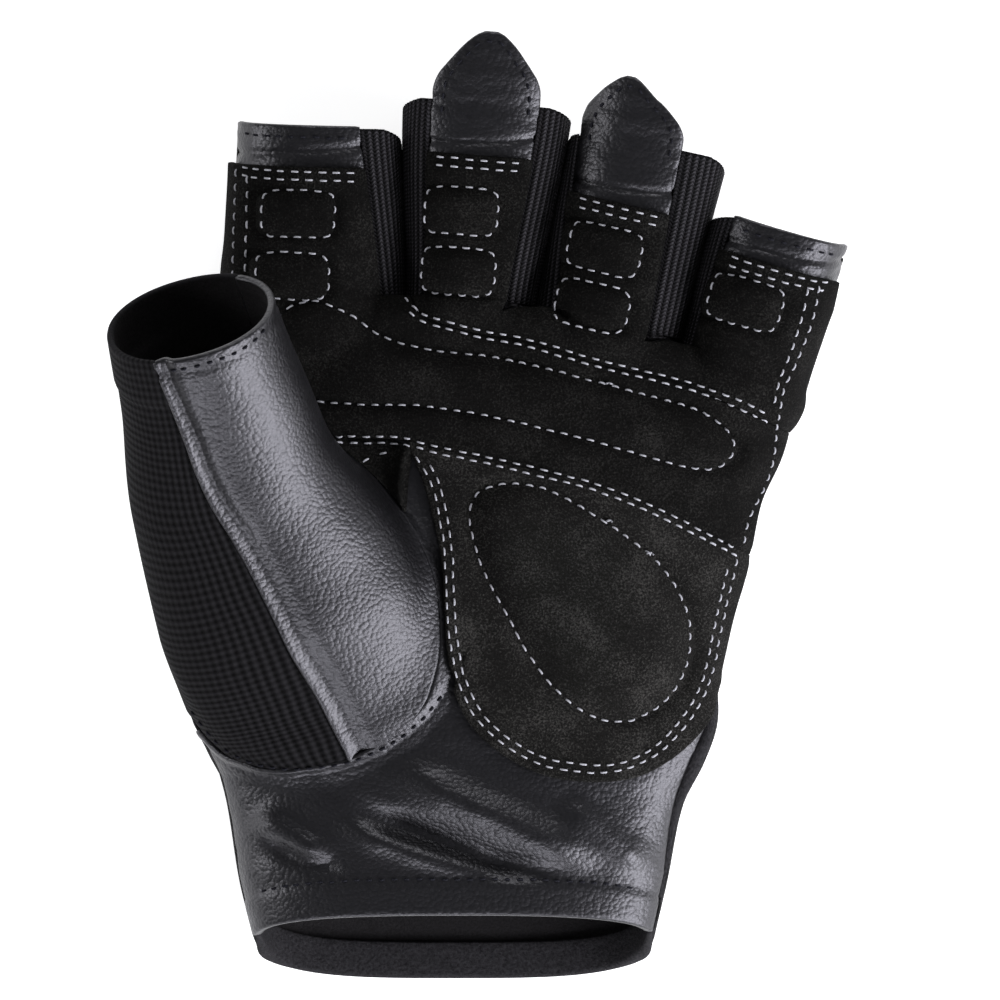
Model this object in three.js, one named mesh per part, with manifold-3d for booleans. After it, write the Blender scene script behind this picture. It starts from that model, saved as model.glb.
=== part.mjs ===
// A fingerless weightlifting glove for the left hand, lying on its back with the palm up.
// Its pieces are cut like cloth and wrapped round one hand form, so they follow each other when a
// size changes. Lengths are millimetres and angles degrees. +Y points to the fingers, +Z out of the
// palm, and the thumb is on the -X side.
import * as THREE from "three";
import { mergeVertices } from "three/addons/utils/BufferGeometryUtils.js";
import Module from "manifold-3d";

const wasm = await Module();
wasm.setup();

// The hand form, which is the hollow inside the glove
const PALM_LENGTH = 115; // side of the hem to the crotch beside the index finger
const PALM_WIDTH = 106; // across the knuckles
const CUFF_WIDTH = 74; // across the wrist
const WRIST_LIFT = 2.4; // how far the wrist's back is held up, which lets the strap lie level
const CUFF_DEPTH = 31; // back to palm at the wrist
const KNUCKLE_DEPTH = 26; // back to palm at the knuckles
const KNUCKLE_DROP = 16.5; // how much nearer the wrist the little finger's side starts
const HEM_SIDE = 1.6; // height of the hem at the sides
const HEM_TILT = 7.0; // how much higher than the sides the palm's hem is, and the back's lower
const HEM_SAG = 1.1; // how much the palm's and the back's hem both hang below that
const PALM_FULLNESS = 2.5; // 2 is an ellipse, and more is squarer
const BACK_FULLNESS = 3.4;
const FINGER_FULLNESS = 2.4;
const FINGER_DEPTH = 22;
const FINGER_RISE = 4; // lift of the finger's middle from its root to its mouth
const MOUTH_RAKE = 9; // how much lower a finger's mouth is at the back
const WEB_RADIUS = 2.5; // fillet between fingers
const THUMB_REACH = 68; // root to mouth, along the palm
const THUMB_SPREAD = 24; // root to mouth, sideways
const THUMB_RISE = 36; // root to mouth, out of the palm
const THUMB_MOUTH_WIDTH = 27;
const THUMB_MOUTH_DEPTH = 25;
const THUMB_ROOT_WIDTH = 49;
const THUMB_ROOT_DEPTH = 33;
const THUMB_ROOT_HEIGHT = 20; // middle of the root above the form's back
const THUMB_FULLNESS = 2.1;

// Walls and seams
const LEATHER = 1.3;
const SUEDE = 1.2;
const KNIT = 1.2;
const BINDING = 1.0;
const STRAP = 2.0;
const SEAM_GAP = 0.35; // between sewn pieces
const SIDE_SEAM = 80; // angle of the seam between leather and knit, from the palm's middle
const PAD_EDGE = 0.4; // a pad's thickness at its stitched rim
const PAD_RISE = 1.7; // extra thickness at its middle
const PAD_SLOPE = 7; // distance from the rim over which a pad rises
const HEM_HEIGHT = 5.5;
const TAB_TIP = 0.28; // width of a pull tab's tip, as a share of its root
const STRAP_WIDTH = 24;
const STRAP_ALONG = 24.5; // height of the strap's middle above the hem

// Sections of the palm: place along it, sideways shift as a share of its width, and width from 0
// for the cuff's to 1 for the knuckles'
const PALM_SECTIONS = [
  { along: -0.1, shift: -0.079, spread: -0.24 },
  { along: 0.0, shift: -0.079, spread: -0.12 },
  { along: 0.1, shift: -0.08, spread: 0.05 },
  { along: 0.22, shift: -0.077, spread: 0.21 },
  { along: 0.29, shift: -0.068, spread: 0.4 },
  { along: 0.35, shift: -0.066, spread: 0.53 },
  { along: 0.44, shift: -0.068, spread: 0.55 },
  { along: 0.6, shift: -0.038, spread: 0.65 },
  { along: 0.7, shift: -0.025, spread: 0.71 },
  { along: 0.78, shift: -0.001, spread: 0.8 },
  { along: 0.87, shift: 0.014, spread: 0.87 },
  { along: 1.0, shift: 0.045, spread: 1.0 },
  { along: 1.15, shift: 0.055, spread: 1.04 },
];

// The slit in the cuff on the little finger's side: how far the leather's edge is drawn back from the
// side seam, as an angle
const VENT_SECTIONS = [
  { along: -0.1, draw: 5 },
  { along: 0.08, draw: 5.5 },
  { along: 0.17, draw: 7 },
  { along: 0.23, draw: 10 },
  { along: 0.29, draw: 13.5 },
  { along: 0.35, draw: 9.5 },
  { along: 0.39, draw: 5 },
  { along: 0.415, draw: 0 },
];

// Each finger's length, its widths as shares of the palm's, its lean, its place across the knuckles,
// and the angles of its seams: leftFront to rightFront is leather, rightBack to leftBack knit
const FINGERS = [
  { name: "index", length: 34, lean: 1.5, across: -0.319, rootWidth: 0.278, mouthWidth: 0.256,
    leftFront: -80, rightFront: 27, rightRoot: 46, leftRoot: -80, rightBack: 140, leftBack: 280,
    suedeEnd: 0.785, frontCells: 4, backCells: 6, tab: 0 },
  { name: "middle", length: 38.8, lean: 4.6, across: -0.053, rootWidth: 0.188, mouthWidth: 0.258,
    leftFront: -36, rightFront: 37, rightRoot: 26, leftRoot: -38, rightBack: 140, leftBack: 220,
    suedeEnd: 0.75, frontCells: 4, backCells: 3, tab: 12.5 },
  { name: "ring", length: 36.3, lean: 13, across: 0.18, rootWidth: 0.222, mouthWidth: 0.235,
    leftFront: -65, rightFront: 21, rightRoot: 27, leftRoot: -34, rightBack: 140, leftBack: 220,
    suedeEnd: 0.67, frontCells: 4, backCells: 3, tab: 10.5 },
  { name: "little", length: 28.5, lean: 16.2, across: 0.411, rootWidth: 0.186, mouthWidth: 0.209,
    leftFront: -44, rightFront: 80, rightRoot: 80, leftRoot: -50, rightBack: 80, leftBack: 220,
    suedeEnd: 0.777, frontCells: 4, backCells: 6, tab: 0 },
];

// Sections of the thumb from its root: shares of its reach, spread and rise, and of the change from
// the mouth's width and depth to the root's; seam is the angle where leather meets knit
const THUMB_SECTIONS = [
  { along: 0.0, reach: -0.04, spread: -0.04, rise: -0.06, wide: 0.88, deep: 0.5, seam: -2 },
  { along: 0.15, reach: 0.09, spread: 0.1, rise: 0.04, wide: 0.98, deep: 0.7, seam: -4 },
  { along: 0.33, reach: 0.26, spread: 0.31, rise: 0.19, wide: 0.94, deep: 0.85, seam: -7 },
  { along: 0.62, reach: 0.57, spread: 0.7, rise: 0.49, wide: 0.45, deep: 0.5, seam: -10 },
  { along: 0.82, reach: 0.8, spread: 0.86, rise: 0.755, wide: 0.16, deep: 0.2, seam: -20 },
  { along: 1.0, reach: 1.0, spread: 1.0, rise: 1.0, wide: 0.0, deep: 0.0, seam: -30 },
];
const THUMB_ROOT = { across: -0.283, along: 0.383 };
const THUMB_BACK_SEAM = 140;

// Folds of the cuff's leather, from one end to the other: across is from -1 to 1 over the palm side,
// along is a share of the palm's length
const CUFF_FOLDS = [
  { fromAcross: -0.29, fromAlong: 0.225, toAcross: 0.55, toAlong: 0.085, width: 3.2, height: -2.0 },
  { fromAcross: -0.1, fromAlong: 0.29, toAcross: 0.7, toAlong: 0.12, width: 4.5, height: 1.5 },
  { fromAcross: -0.4, fromAlong: 0.2, toAcross: 0.3, toAlong: 0.1, width: 3.0, height: 1.2 },
  { fromAcross: -0.9, fromAlong: 0.215, toAcross: -0.6, toAlong: 0.13, width: 3.5, height: 1.4 },
];

// Seams and outlines on the palm, as across and along shares
const KNUCKLE_SEAM = [
  [-0.46, 1.03], [-0.36, 0.988], [-0.25, 0.973], [-0.15, 0.961], [0.03, 0.946], [0.29, 0.914],
  [0.59, 0.884], [0.79, 0.857], [0.94, 0.829], [1.1, 0.79],
];
const BAR_SEAM = [
  [-1.1, 0.8], [-0.563, 0.795], [-0.365, 0.793], [-0.216, 0.778], [-0.027, 0.762],
  [0.167, 0.744], [0.327, 0.728], [0.493, 0.707], [0.657, 0.681], [0.822, 0.649], [1.1, 0.595],
];
const HEEL_OUTLINE = [
  [-0.33, 0.79], [-0.24, 0.73], [-0.18, 0.67], [-0.14, 0.6], [-0.11, 0.54], [-0.07, 0.475],
  [-0.02, 0.41], [0.04, 0.353], [0.15, 0.312], [0.33, 0.277], [0.52, 0.264], [0.72, 0.27],
  [0.84, 0.298], [0.93, 0.345], [1.0, 0.39], [1.1, 0.45],
];
const HEEL_PAD = [
  [-0.05, 0.68], [-0.03, 0.712], [0.07, 0.725], [0.2, 0.718], [0.36, 0.689], [0.52, 0.65],
  [0.67, 0.606], [0.78, 0.56], [0.86, 0.51], [0.89, 0.457], [0.86, 0.412], [0.77, 0.375],
  [0.64, 0.354], [0.53, 0.36], [0.4, 0.395], [0.28, 0.45], [0.15, 0.52], [0.04, 0.58],
  [-0.03, 0.64],
];
const BAR_PAD = [
  [-0.82, 0.996], [-0.72, 1.011], [-0.6, 0.99], [-0.48, 0.957], [-0.33, 0.937], [-0.08, 0.923],
  [0.2, 0.896], [0.45, 0.868], [0.7, 0.838], [0.8, 0.812], [0.85, 0.78], [0.82, 0.753],
  [0.73, 0.75], [0.59, 0.763], [0.32, 0.793], [0.0, 0.826], [-0.3, 0.847], [-0.55, 0.85],
  [-0.75, 0.865], [-0.88, 0.93],
];

// Small pads on the fingers: across is a share of the finger's half width, along of its length
const PAD_LENGTH = 8.5;
const PAD_WIDTH = 13;
const FINGER_PADS = [
  { finger: "index", name: "index_pad_upper", across: -0.21, along: 0.5 },
  { finger: "index", name: "index_pad_lower", across: -0.26, along: 0.17 },
  { finger: "middle", name: "middle_pad_upper", across: -0.24, along: 0.46 },
  { finger: "middle", name: "middle_pad_lower", across: -0.24, along: 0.18 },
  { finger: "ring", name: "ring_pad_upper", across: -0.3, along: 0.4 },
  { finger: "ring", name: "ring_pad_lower", across: -0.3, along: 0.11 },
  { finger: "little", name: "little_pad", across: -0.3, along: 0.48 },
];

// How finely the pieces are divided
const CUFF_ROWS = 11;
const CUFF_SHARE = 0.36;
const PALM_ROWS = 8;
const BACK_ROWS = 13;
const FINGER_ROWS = 4;
const GUSSET_CELLS = 4;
const THUMB_ROWS = 11;
const THUMB_CELLS = 8;

const COLOURS = {
  leather: { color: 0x1b1a1c, roughness: 0.45 },
  suede: { color: 0x171615, roughness: 0.95 },
  knit: { color: 0x121214, roughness: 0.9 },
  binding: { color: 0x232124, roughness: 0.85 },
};

const shares = (count, from, to) =>
  Array.from({ length: count }, (_, i) => from + ((to - from) * i) / count);
const { lerp, clamp, degToRad, radToDeg, smoothstep } = THREE.MathUtils;
const vec = (x, y, z) => new THREE.Vector3(x, y, z);
const signedPower = (value, power) => Math.sign(value) * Math.abs(value) ** power;

// A column of a table at a place along it, on a smooth curve through its rows
function column(table, key, along) {
  const at = table.findIndex((row, i) => i > 0 && along <= row.along);
  const i = at < 0 ? table.length - 1 : at;
  const [a, b] = [table[i - 1], table[i]];
  const slope = (p, q) => (q[key] - p[key]) / (q.along - p.along);
  const before = table[i - 2] ? slope(table[i - 2], b) : slope(a, b);
  const after = table[i + 1] ? slope(a, table[i + 1]) : slope(a, b);
  const step = b.along - a.along;
  const t = (along - a.along) / step;
  if (t < 0 || t > 1) return t < 0 ? a[key] + before * step * t : b[key] + after * step * (t - 1);
  const rest = 1 - t;
  return (1 + 2 * t) * rest * rest * a[key] + t * rest * rest * step * before +
    t * t * (3 - 2 * t) * b[key] - t * t * rest * step * after;
}

// The palm's section at a height y
function palmAt(y) {
  const along = y / PALM_LENGTH;
  const depth = lerp(CUFF_DEPTH, KNUCKLE_DEPTH, clamp(along, 0, 1));
  const lift = WRIST_LIFT * smoothstep(-along, -0.5, -0.32);
  const width = lerp(CUFF_WIDTH, PALM_WIDTH, column(PALM_SECTIONS, "spread", along));
  const x = column(PALM_SECTIONS, "shift", along) * PALM_WIDTH;
  return { x, z: (depth + lift) / 2, half: width / 2, depth: (depth - lift) / 2 };
}

// The point of a rounded section at an angle: 0 faces the palm side, 90 the little finger's side
function onSection(angle, half, depth, fullness) {
  const a = degToRad(angle);
  const side = half * signedPower(Math.sin(a), 2 / fullness);
  return { side, up: depth * signedPower(Math.cos(a), 2 / fullness) };
}
const palmFullness = (angle) => (Math.cos(degToRad(angle)) < 0 ? BACK_FULLNESS : PALM_FULLNESS);

function palmPoint(angle, y) {
  const section = palmAt(y);
  const { side, up } = onSection(angle, section.half, section.depth, palmFullness(angle));
  return vec(section.x + side, y, section.z + up);
}

// The palm's end towards the fingers, which drops to the little finger's side
function knuckleLine(x) {
  const across = clamp((x / PALM_WIDTH + 0.16) / 0.67, 0, 1.1);
  return PALM_LENGTH - KNUCKLE_DROP * across ** 2;
}

// Each finger's own frame: root, axis to the mouth, and the directions sideways and out of the palm
for (const finger of FINGERS) {
  const lean = degToRad(finger.lean);
  const rise = Math.atan(FINGER_RISE / finger.length);
  const x = finger.across * PALM_WIDTH;
  finger.root = vec(x, knuckleLine(x), KNUCKLE_DEPTH / 2);
  finger.axis = vec(Math.sin(lean) * Math.cos(rise), Math.cos(lean) * Math.cos(rise), Math.sin(rise));
  finger.side = vec(Math.cos(lean), -Math.sin(lean), 0);
  finger.up = finger.side.clone().cross(finger.axis);
}
const fingerNamed = (name) => FINGERS.find((finger) => finger.name === name);

function fingerHalf(finger, t) {
  const share = lerp(finger.rootWidth, finger.mouthWidth, smoothstep(t, 0, 1));
  return { half: (share * PALM_WIDTH) / 2, depth: lerp(KNUCKLE_DEPTH, FINGER_DEPTH, clamp(t, 0, 1)) / 2 };
}

function fingerPoint(finger, angle, t) {
  const { half, depth } = fingerHalf(finger, t);
  const { side, up } = onSection(angle, half, depth, FINGER_FULLNESS);
  return finger.root.clone()
    .addScaledVector(finger.axis, t * finger.length)
    .addScaledVector(finger.side, side)
    .addScaledVector(finger.up, up);
}

// Signed distances, nearly, from the form: negative inside
function sectionDistance(side, up, half, depth, fullness) {
  const norm = (Math.abs(side / half) ** fullness + Math.abs(up / depth) ** fullness) ** (1 / fullness);
  return (norm - 1) * Math.min(half, depth);
}
function smoothMax(a, b, radius) {
  const mix = Math.max(radius - Math.abs(a - b), 0) / radius;
  return Math.max(a, b) + (mix * mix * radius) / 4;
}
const smoothMin = (a, b, radius) => -smoothMax(-a, -b, radius);

function palmDistance(p) {
  const section = palmAt(p.y);
  const up = p.z - section.z;
  const fullness = up < 0 ? BACK_FULLNESS : PALM_FULLNESS;
  const round = sectionDistance(p.x - section.x, up, section.half, section.depth, fullness);
  return smoothMax(round, p.y - knuckleLine(p.x), WEB_RADIUS);
}
const FINGER_ROOT_DEPTH = 12; // how far a finger's form reaches into the palm's
function fingerDistance(finger, p) {
  const from = p.clone().sub(finger.root);
  const along = from.dot(finger.axis);
  const { half, depth } = fingerHalf(finger, along / finger.length);
  const round = sectionDistance(from.dot(finger.side), from.dot(finger.up), half, depth, FINGER_FULLNESS);
  return Math.max(round, -along - FINGER_ROOT_DEPTH);
}
function formDistance(p) {
  const join = (d, finger) => smoothMin(d, fingerDistance(finger, p), WEB_RADIUS);
  const whole = FINGERS.reduce(join, palmDistance(p));
  return Math.max(whole, -p.z); // the back is flattened where the glove lies on it
}

const PROBE = 0.05;
function formNormal(p) {
  const along = (axis) => formDistance(p.clone().addScaledVector(axis, PROBE)) -
    formDistance(p.clone().addScaledVector(axis, -PROBE));
  return vec(along(vec(1, 0, 0)), along(vec(0, 1, 0)), along(vec(0, 0, 1))).divideScalar(2 * PROBE);
}

// Moves a point near the form's surface onto it, and gives the normal there
const SETTLE_STEPS = 6;
function onForm(p) {
  const point = p.clone();
  for (let i = 0; i < SETTLE_STEPS; i++) {
    const slope = formNormal(point);
    point.addScaledVector(slope, -formDistance(point) / slope.lengthSq());
  }
  return { point, normal: formNormal(point).normalize() };
}

// A knot is a pair of points, on the inside and the outside of a wall
const knot = ({ point, normal }, inside, outside) => ({
  inside: point.clone().addScaledVector(normal, inside),
  outside: point.clone().addScaledVector(normal, outside),
});

// How far the cuff's leather is folded out at a place on the palm side
const FOLD_FADE = 0.3; // share of a fold's length over which it dies out at each end
function foldAt(p) {
  return CUFF_FOLDS.reduce((sum, fold) => {
    const from = palmPlace([fold.fromAcross, fold.fromAlong]);
    const to = palmPlace([fold.toAcross, fold.toAlong]);
    const line = to.clone().sub(from);
    const offset = new THREE.Vector2(p.x, p.y).sub(from);
    const along = offset.dot(line) / line.lengthSq();
    const away = offset.cross(line) / line.length() / fold.width;
    const fade = smoothstep(along, 0, FOLD_FADE) * smoothstep(1 - along, 0, FOLD_FADE);
    return sum + fold.height * fade * Math.exp(-away * away);
  }, 0);
}

// A place on the palm side, seen from above, from its across and along shares
function palmPlace([across, along]) {
  const section = palmAt(along * PALM_LENGTH);
  return new THREE.Vector2(section.x + across * section.half, along * PALM_LENGTH);
}

// A closed solid between the insides and the outsides of quads of knots, with a rim at free edges
function shell(quads) {
  const knots = [...new Set(quads.flat())];
  const order = new Map(knots.map((k, i) => [k, i]));
  const index = [];
  const edges = new Map();
  for (const quad of quads) {
    const [a, b, c, d] = quad.map((k) => order.get(k));
    index.push(a, b, c, a, c, d);
    index.push(...[a, c, b, a, d, c].map((i) => i + knots.length));
    [[a, b], [b, c], [c, d], [d, a]].forEach(([p, q]) => {
      if (!edges.delete(`${q},${p}`)) edges.set(`${p},${q}`, [p, q]);
    });
  }
  const n = knots.length;
  for (const [p, q] of edges.values()) index.push(q, p, p + n, q, p + n, q + n);
  return solidOf([...knots.map((k) => k.outside), ...knots.map((k) => k.inside)], index);
}

// The quads between the rows of a lattice; closed joins each row's end to its start
function lattice(rows, closed = false) {
  const quads = [];
  for (let r = 0; r + 1 < rows.length; r++) {
    const count = rows[r].length;
    for (let c = 0; c < (closed ? count : count - 1); c++) {
      const next = (c + 1) % count;
      quads.push([rows[r][c], rows[r][next], rows[r + 1][next], rows[r + 1][c]]);
    }
  }
  return quads;
}

// The triangles between rings of points
function between(rings, count) {
  const index = [];
  for (let r = 0; r + 1 < rings; r++) {
    for (let c = 0; c < count; c++) {
      const [a, b] = [r * count + c, r * count + ((c + 1) % count)];
      index.push(a, b, b + count, a, b + count, a + count);
    }
  }
  return index;
}
function solidOf(points, index) {
  return new THREE.BufferGeometry()
    .setAttribute("position", new THREE.Float32BufferAttribute(points.flatMap((p) => p.toArray()), 3))
    .setIndex(index);
}
// A closed solid inside rings of points, with a fan over each end
function loft(rings) {
  const count = rings[0].length;
  const middle = (ring) => ring.reduce((sum, p) => sum.add(p), vec(0, 0, 0)).divideScalar(count);
  const points = [...rings.flat(), middle(rings[0]), middle(rings.at(-1))];
  const index = between(rings.length, count);
  const top = (rings.length - 1) * count;
  for (let c = 0; c < count; c++) {
    const next = (c + 1) % count;
    index.push(points.length - 2, next, c, points.length - 1, top + c, top + next);
  }
  return solidOf(points, index);
}

// Between three.js geometry and solids that can be cut
function toSolid(geometry) {
  const bare = geometry.clone();
  ["normal", "uv"].forEach((name) => bare.deleteAttribute(name));
  const merged = mergeVertices(bare, 1e-4);
  const triVerts = new Uint32Array(merged.index.array);
  const solid = new wasm.Manifold(new wasm.Mesh({
    numProp: 3, vertProperties: merged.attributes.position.array, triVerts,
  }));
  if (solid.volume() > 0) return solid;
  for (let i = 0; i < triVerts.length; i += 3) {
    [triVerts[i], triVerts[i + 1]] = [triVerts[i + 1], triVerts[i]];
  }
  return new wasm.Manifold(new wasm.Mesh({
    numProp: 3, vertProperties: merged.attributes.position.array, triVerts,
  }));
}
function toGeometry(solid) {
  const mesh = solid.getMesh();
  const geometry = new THREE.BufferGeometry()
    .setAttribute("position", new THREE.BufferAttribute(mesh.vertProperties, 3))
    .setIndex(new THREE.BufferAttribute(mesh.triVerts, 1));
  geometry.computeVertexNormals();
  return geometry;
}
const largestPiece = (solid) => solid.decompose().sort((a, b) => b.volume() - a.volume())[0];

// An upright prism over an outline seen from the palm side
function prism(points) {
  const shape = new THREE.Shape(points);
  const height = (CUFF_DEPTH + THUMB_RISE) * 2;
  return toSolid(new THREE.ExtrudeGeometry(shape, { depth: height, bevelEnabled: false }));
}
const curveThrough = (shares, count, closed = false) => {
  const places = shares.map(palmPlace).map((p) => vec(p.x, p.y, 0));
  const points = new THREE.CatmullRomCurve3(places, closed).getPoints(count);
  return (closed ? points.slice(0, -1) : points).map((p) => new THREE.Vector2(p.x, p.y));
};

// The angle of a finger's strip of leather or knit at a share across it
function stripAngle(finger, side, share, t) {
  if (side === "back") return lerp(finger.rightBack, finger.leftBack, share);
  const left = lerp(finger.leftRoot, finger.leftFront, clamp(t, 0, 1));
  return lerp(left, lerp(finger.rightRoot, finger.rightFront, clamp(t, 0, 1)), share);
}

// The points across one side of the glove at the knuckles, from seam to seam, with the angle of the
// palm's section that each one's column keeps; the first and last follow the side seams
function columns(side) {
  const order = side === "front" ? FINGERS : [...FINGERS].reverse();
  const roots = order.flatMap((finger) => stripRow(finger, side, 0));
  return roots.map(({ point: root }, i) => {
    if (i === 0 || i === roots.length - 1) return { root, edge: i === 0 ? "start" : "end" };
    const section = palmAt(root.y);
    const across = clamp((root.x - section.x) / section.half, -1, 1);
    const fullness = side === "front" ? PALM_FULLNESS : BACK_FULLNESS;
    const angle = radToDeg(Math.asin(signedPower(across, fullness / 2)));
    return { root, angle: side === "front" ? angle : 180 - angle };
  });
}
function stripRow(finger, side, t) {
  const cells = finger[side + "Cells"];
  const trim = SEAM_GAP / fingerHalf(finger, t).half / Math.PI;
  return Array.from({ length: cells + 1 }, (_, c) =>
    onForm(fingerPoint(finger, stripAngle(finger, side, lerp(trim, 1 - trim, c / cells), t), t)));
}

// The angle of a column at a height on the palm, where the slit draws the leather back
function columnAngle({ angle, edge }, side, y) {
  const gap = radToDeg(SEAM_GAP / palmAt(y).half);
  if (side === "back") return angle ?? (edge === "start" ? SIDE_SEAM + gap : 360 - SIDE_SEAM - gap);
  if (edge === "start") return gap - SIDE_SEAM;
  const draw = column(VENT_SECTIONS, "draw", y / PALM_LENGTH);
  const drawn = Math.max(y > VENT_END ? 0 : draw, 0);
  if (edge) return SIDE_SEAM - drawn - gap;
  return angle - (drawn * Math.max(angle, 0)) / SIDE_SEAM;
}
const VENT_END = VENT_SECTIONS.at(-1).along * PALM_LENGTH;

// The hem's height at an angle round the cuff
function hemHeight(angle) {
  const section = palmAt(0);
  const up = (palmPoint(angle, 0).z - section.z) / section.depth;
  return HEM_SIDE + HEM_TILT * up - HEM_SAG * up ** 2;
}

// A lattice over one side of the glove, from the hem to the knuckles and up each finger. The rows are
// shares of the way from the hem, end gives how far up a finger its strip runs, and make turns a
// place on the form into a knot
function handLattice(side, rows, end, make) {
  const all = columns(side);
  const palmRow = (v) => all.map((each) => {
    const hem = hemHeight(columnAngle(each, side, 0));
    const y = lerp(hem, each.root.y, v);
    const top = palmPoint(columnAngle(each, side, each.root.y), each.root.y);
    const pull = each.root.clone().sub(top).multiplyScalar(smoothstep(v, PULL_START, 1));
    return make(onForm(palmPoint(columnAngle(each, side, y), y).add(pull)));
  });
  const top = all.map(({ root }) => make(onForm(root)));
  const quads = lattice([...rows.map(palmRow), top]);
  let first = 0;
  for (const finger of side === "front" ? FINGERS : [...FINGERS].reverse()) {
    const count = finger[side + "Cells"] + 1;
    const rest = Array.from({ length: FINGER_ROWS }, (_, r) => Array.from({ length: count }, (__, c) => {
      const share = c / (count - 1);
      const t = (end(finger, stripAngle(finger, side, share, 1)) * (r + 1)) / FINGER_ROWS;
      return make(stripRow(finger, side, t)[c]);
    }));
    quads.push(...lattice([top.slice(first, first + count), ...rest]));
    first += count;
  }
  return quads;
}
const PULL_START = 0.7; // share of the palm from which columns swing to the fingers' roots

// How far up a finger the back and the sides run at an angle, where the mouth is raked
const mouthEnd = (finger, angle) => {
  const round = Math.abs(angle > 180 ? 360 - angle : angle);
  return 1 - ((MOUTH_RAKE / finger.length) * Math.max(round - 45, 0)) / 135;
};

// The closed form of the palm, and of the thumb, at a distance outside the form
const SOLID_CELLS = 28;
const SOLID_ROWS = 18;
function palmSolid(level) {
  const ring = (v) => Array.from({ length: SOLID_CELLS }, (_, c) => {
    const y = lerp(-0.15 * PALM_LENGTH, PALM_LENGTH, v);
    const { point, normal } = sectionPlace((angle) => palmPoint(angle, y), (360 * c) / SOLID_CELLS);
    return point.addScaledVector(normal, level);
  });
  return toSolid(loft(Array.from({ length: SOLID_ROWS + 1 }, (_, r) => ring(r / SOLID_ROWS))));
}
function sectionPlace(at, angle) {
  const point = at(angle);
  const along = at(angle + 1).sub(at(angle - 1));
  return { point, normal: vec(-along.z, 0, along.x).normalize() };
}

// The thumb's section at a share of its length, with its own directions
function thumbAt(t) {
  const value = (key) => column(THUMB_SECTIONS, key, t);
  const root = palmPlace([0, THUMB_ROOT.along]);
  const centre = (s) => vec(
    THUMB_ROOT.across * PALM_WIDTH - column(THUMB_SECTIONS, "spread", s) * THUMB_SPREAD,
    root.y + column(THUMB_SECTIONS, "reach", s) * THUMB_REACH,
    THUMB_ROOT_HEIGHT + column(THUMB_SECTIONS, "rise", s) * THUMB_RISE,
  );
  const axis = centre(t + 0.02).sub(centre(t - 0.02)).normalize();
  const side = vec(axis.y, -axis.x, 0).normalize();
  return {
    centre: centre(t), side, up: side.clone().cross(axis), seam: value("seam"),
    half: lerp(THUMB_MOUTH_WIDTH, THUMB_ROOT_WIDTH, value("wide")) / 2,
    depth: lerp(THUMB_MOUTH_DEPTH, THUMB_ROOT_DEPTH, value("deep")) / 2,
  };
}
function thumbPoint(angle, t) {
  const section = thumbAt(t);
  const { side, up } = onSection(angle, section.half, section.depth, THUMB_FULLNESS);
  return section.centre.addScaledVector(section.side, side).addScaledVector(section.up, up);
}
function thumbPlace(angle, t) {
  const across = thumbPoint(angle + 1, t).sub(thumbPoint(angle - 1, t));
  const along = thumbPoint(angle, t + 0.01).sub(thumbPoint(angle, t - 0.01));
  return { point: thumbPoint(angle, t), normal: across.cross(along).normalize() };
}
function thumbSolid(level) {
  const ring = (t) => Array.from({ length: SOLID_CELLS }, (_, c) => {
    const { point, normal } = thumbPlace((360 * c) / SOLID_CELLS, t);
    return point.addScaledVector(normal, level);
  });
  return toSolid(loft(Array.from({ length: SOLID_ROWS + 1 }, (_, r) => ring((1.1 * r) / SOLID_ROWS))));
}

// The pieces
const glove = new THREE.Group();
function add(name, slot, piece) {
  const geometry = toGeometry(piece.isBufferGeometry ? toSolid(piece) : piece);
  const mesh = new THREE.Mesh(geometry, new THREE.MeshStandardMaterial({ ...COLOURS[slot], metalness: 0 }));
  mesh.name = name;
  glove.add(mesh);
}

const thumbCut = thumbSolid(LEATHER + SEAM_GAP);
const palmCut = palmSolid(LEATHER + SEAM_GAP);

// The rows of the palm side, closer together in the cuff, where the leather is folded
const FRONT_ROWS = [...shares(CUFF_ROWS, 0, CUFF_SHARE), ...shares(PALM_ROWS, CUFF_SHARE, 1)];
const suedeEnd = (finger) => finger.suedeEnd;

const HEM_TOP = HEM_SIDE + HEM_TILT - HEM_SAG + HEM_HEIGHT;

// The leather palm and cuff, which carries the suede and ends under it on each finger
function palmLeather() {
  const make = (place) => {
    const clear = smoothstep(place.point.y, HEM_TOP, HEM_TOP + HEM_HEIGHT);
    const fold = foldAt(place.point) * clear;
    return knot(place, fold, fold + LEATHER);
  };
  return largestPiece(toSolid(shell(handLattice("front", FRONT_ROWS, suedeEnd, make))).subtract(thumbCut));
}

// The suede layer over the leather, cut into panels along its seams
const SUEDE_SEAT = LEATHER + SEAM_GAP;
function suedePanels() {
  const make = (place) => knot(place, SUEDE_SEAT, SUEDE_SEAT + SUEDE);
  const layer = frontLayer(make, HEEL_LOWEST);
  const knuckleSeam = curveThrough(KNUCKLE_SEAM, 14);
  const barSeam = curveThrough(BAR_SEAM, 16);
  const heel = curveThrough(HEEL_OUTLINE, 30);
  const shifted = (points, by) => points.map((p) => new THREE.Vector2(p.x, p.y + by / 2));
  const [left, top] = [knuckleSeam[0].x, PALM_LENGTH * 2];
  const corner = (x) => new THREE.Vector2(x, top);
  const upper = prism([...shifted(knuckleSeam, SEAM_GAP), corner(PALM_WIDTH), corner(left)]);
  const bar = prism([
    ...shifted(barSeam, SEAM_GAP), ...shifted(knuckleSeam, -SEAM_GAP).reverse(), corner(left),
    corner(-PALM_WIDTH),
  ]);
  const heelTop = shifted(barSeam, -SEAM_GAP).filter((p) => p.x > heel[0].x).reverse();
  const lower = prism([...heel, ...heelTop]);
  return { upper: layer.intersect(upper), bar: layer.intersect(bar), heel: layer.intersect(lower) };
}
const HEEL_LOWEST = Math.min(...HEEL_OUTLINE.map(([, along]) => along));

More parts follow.
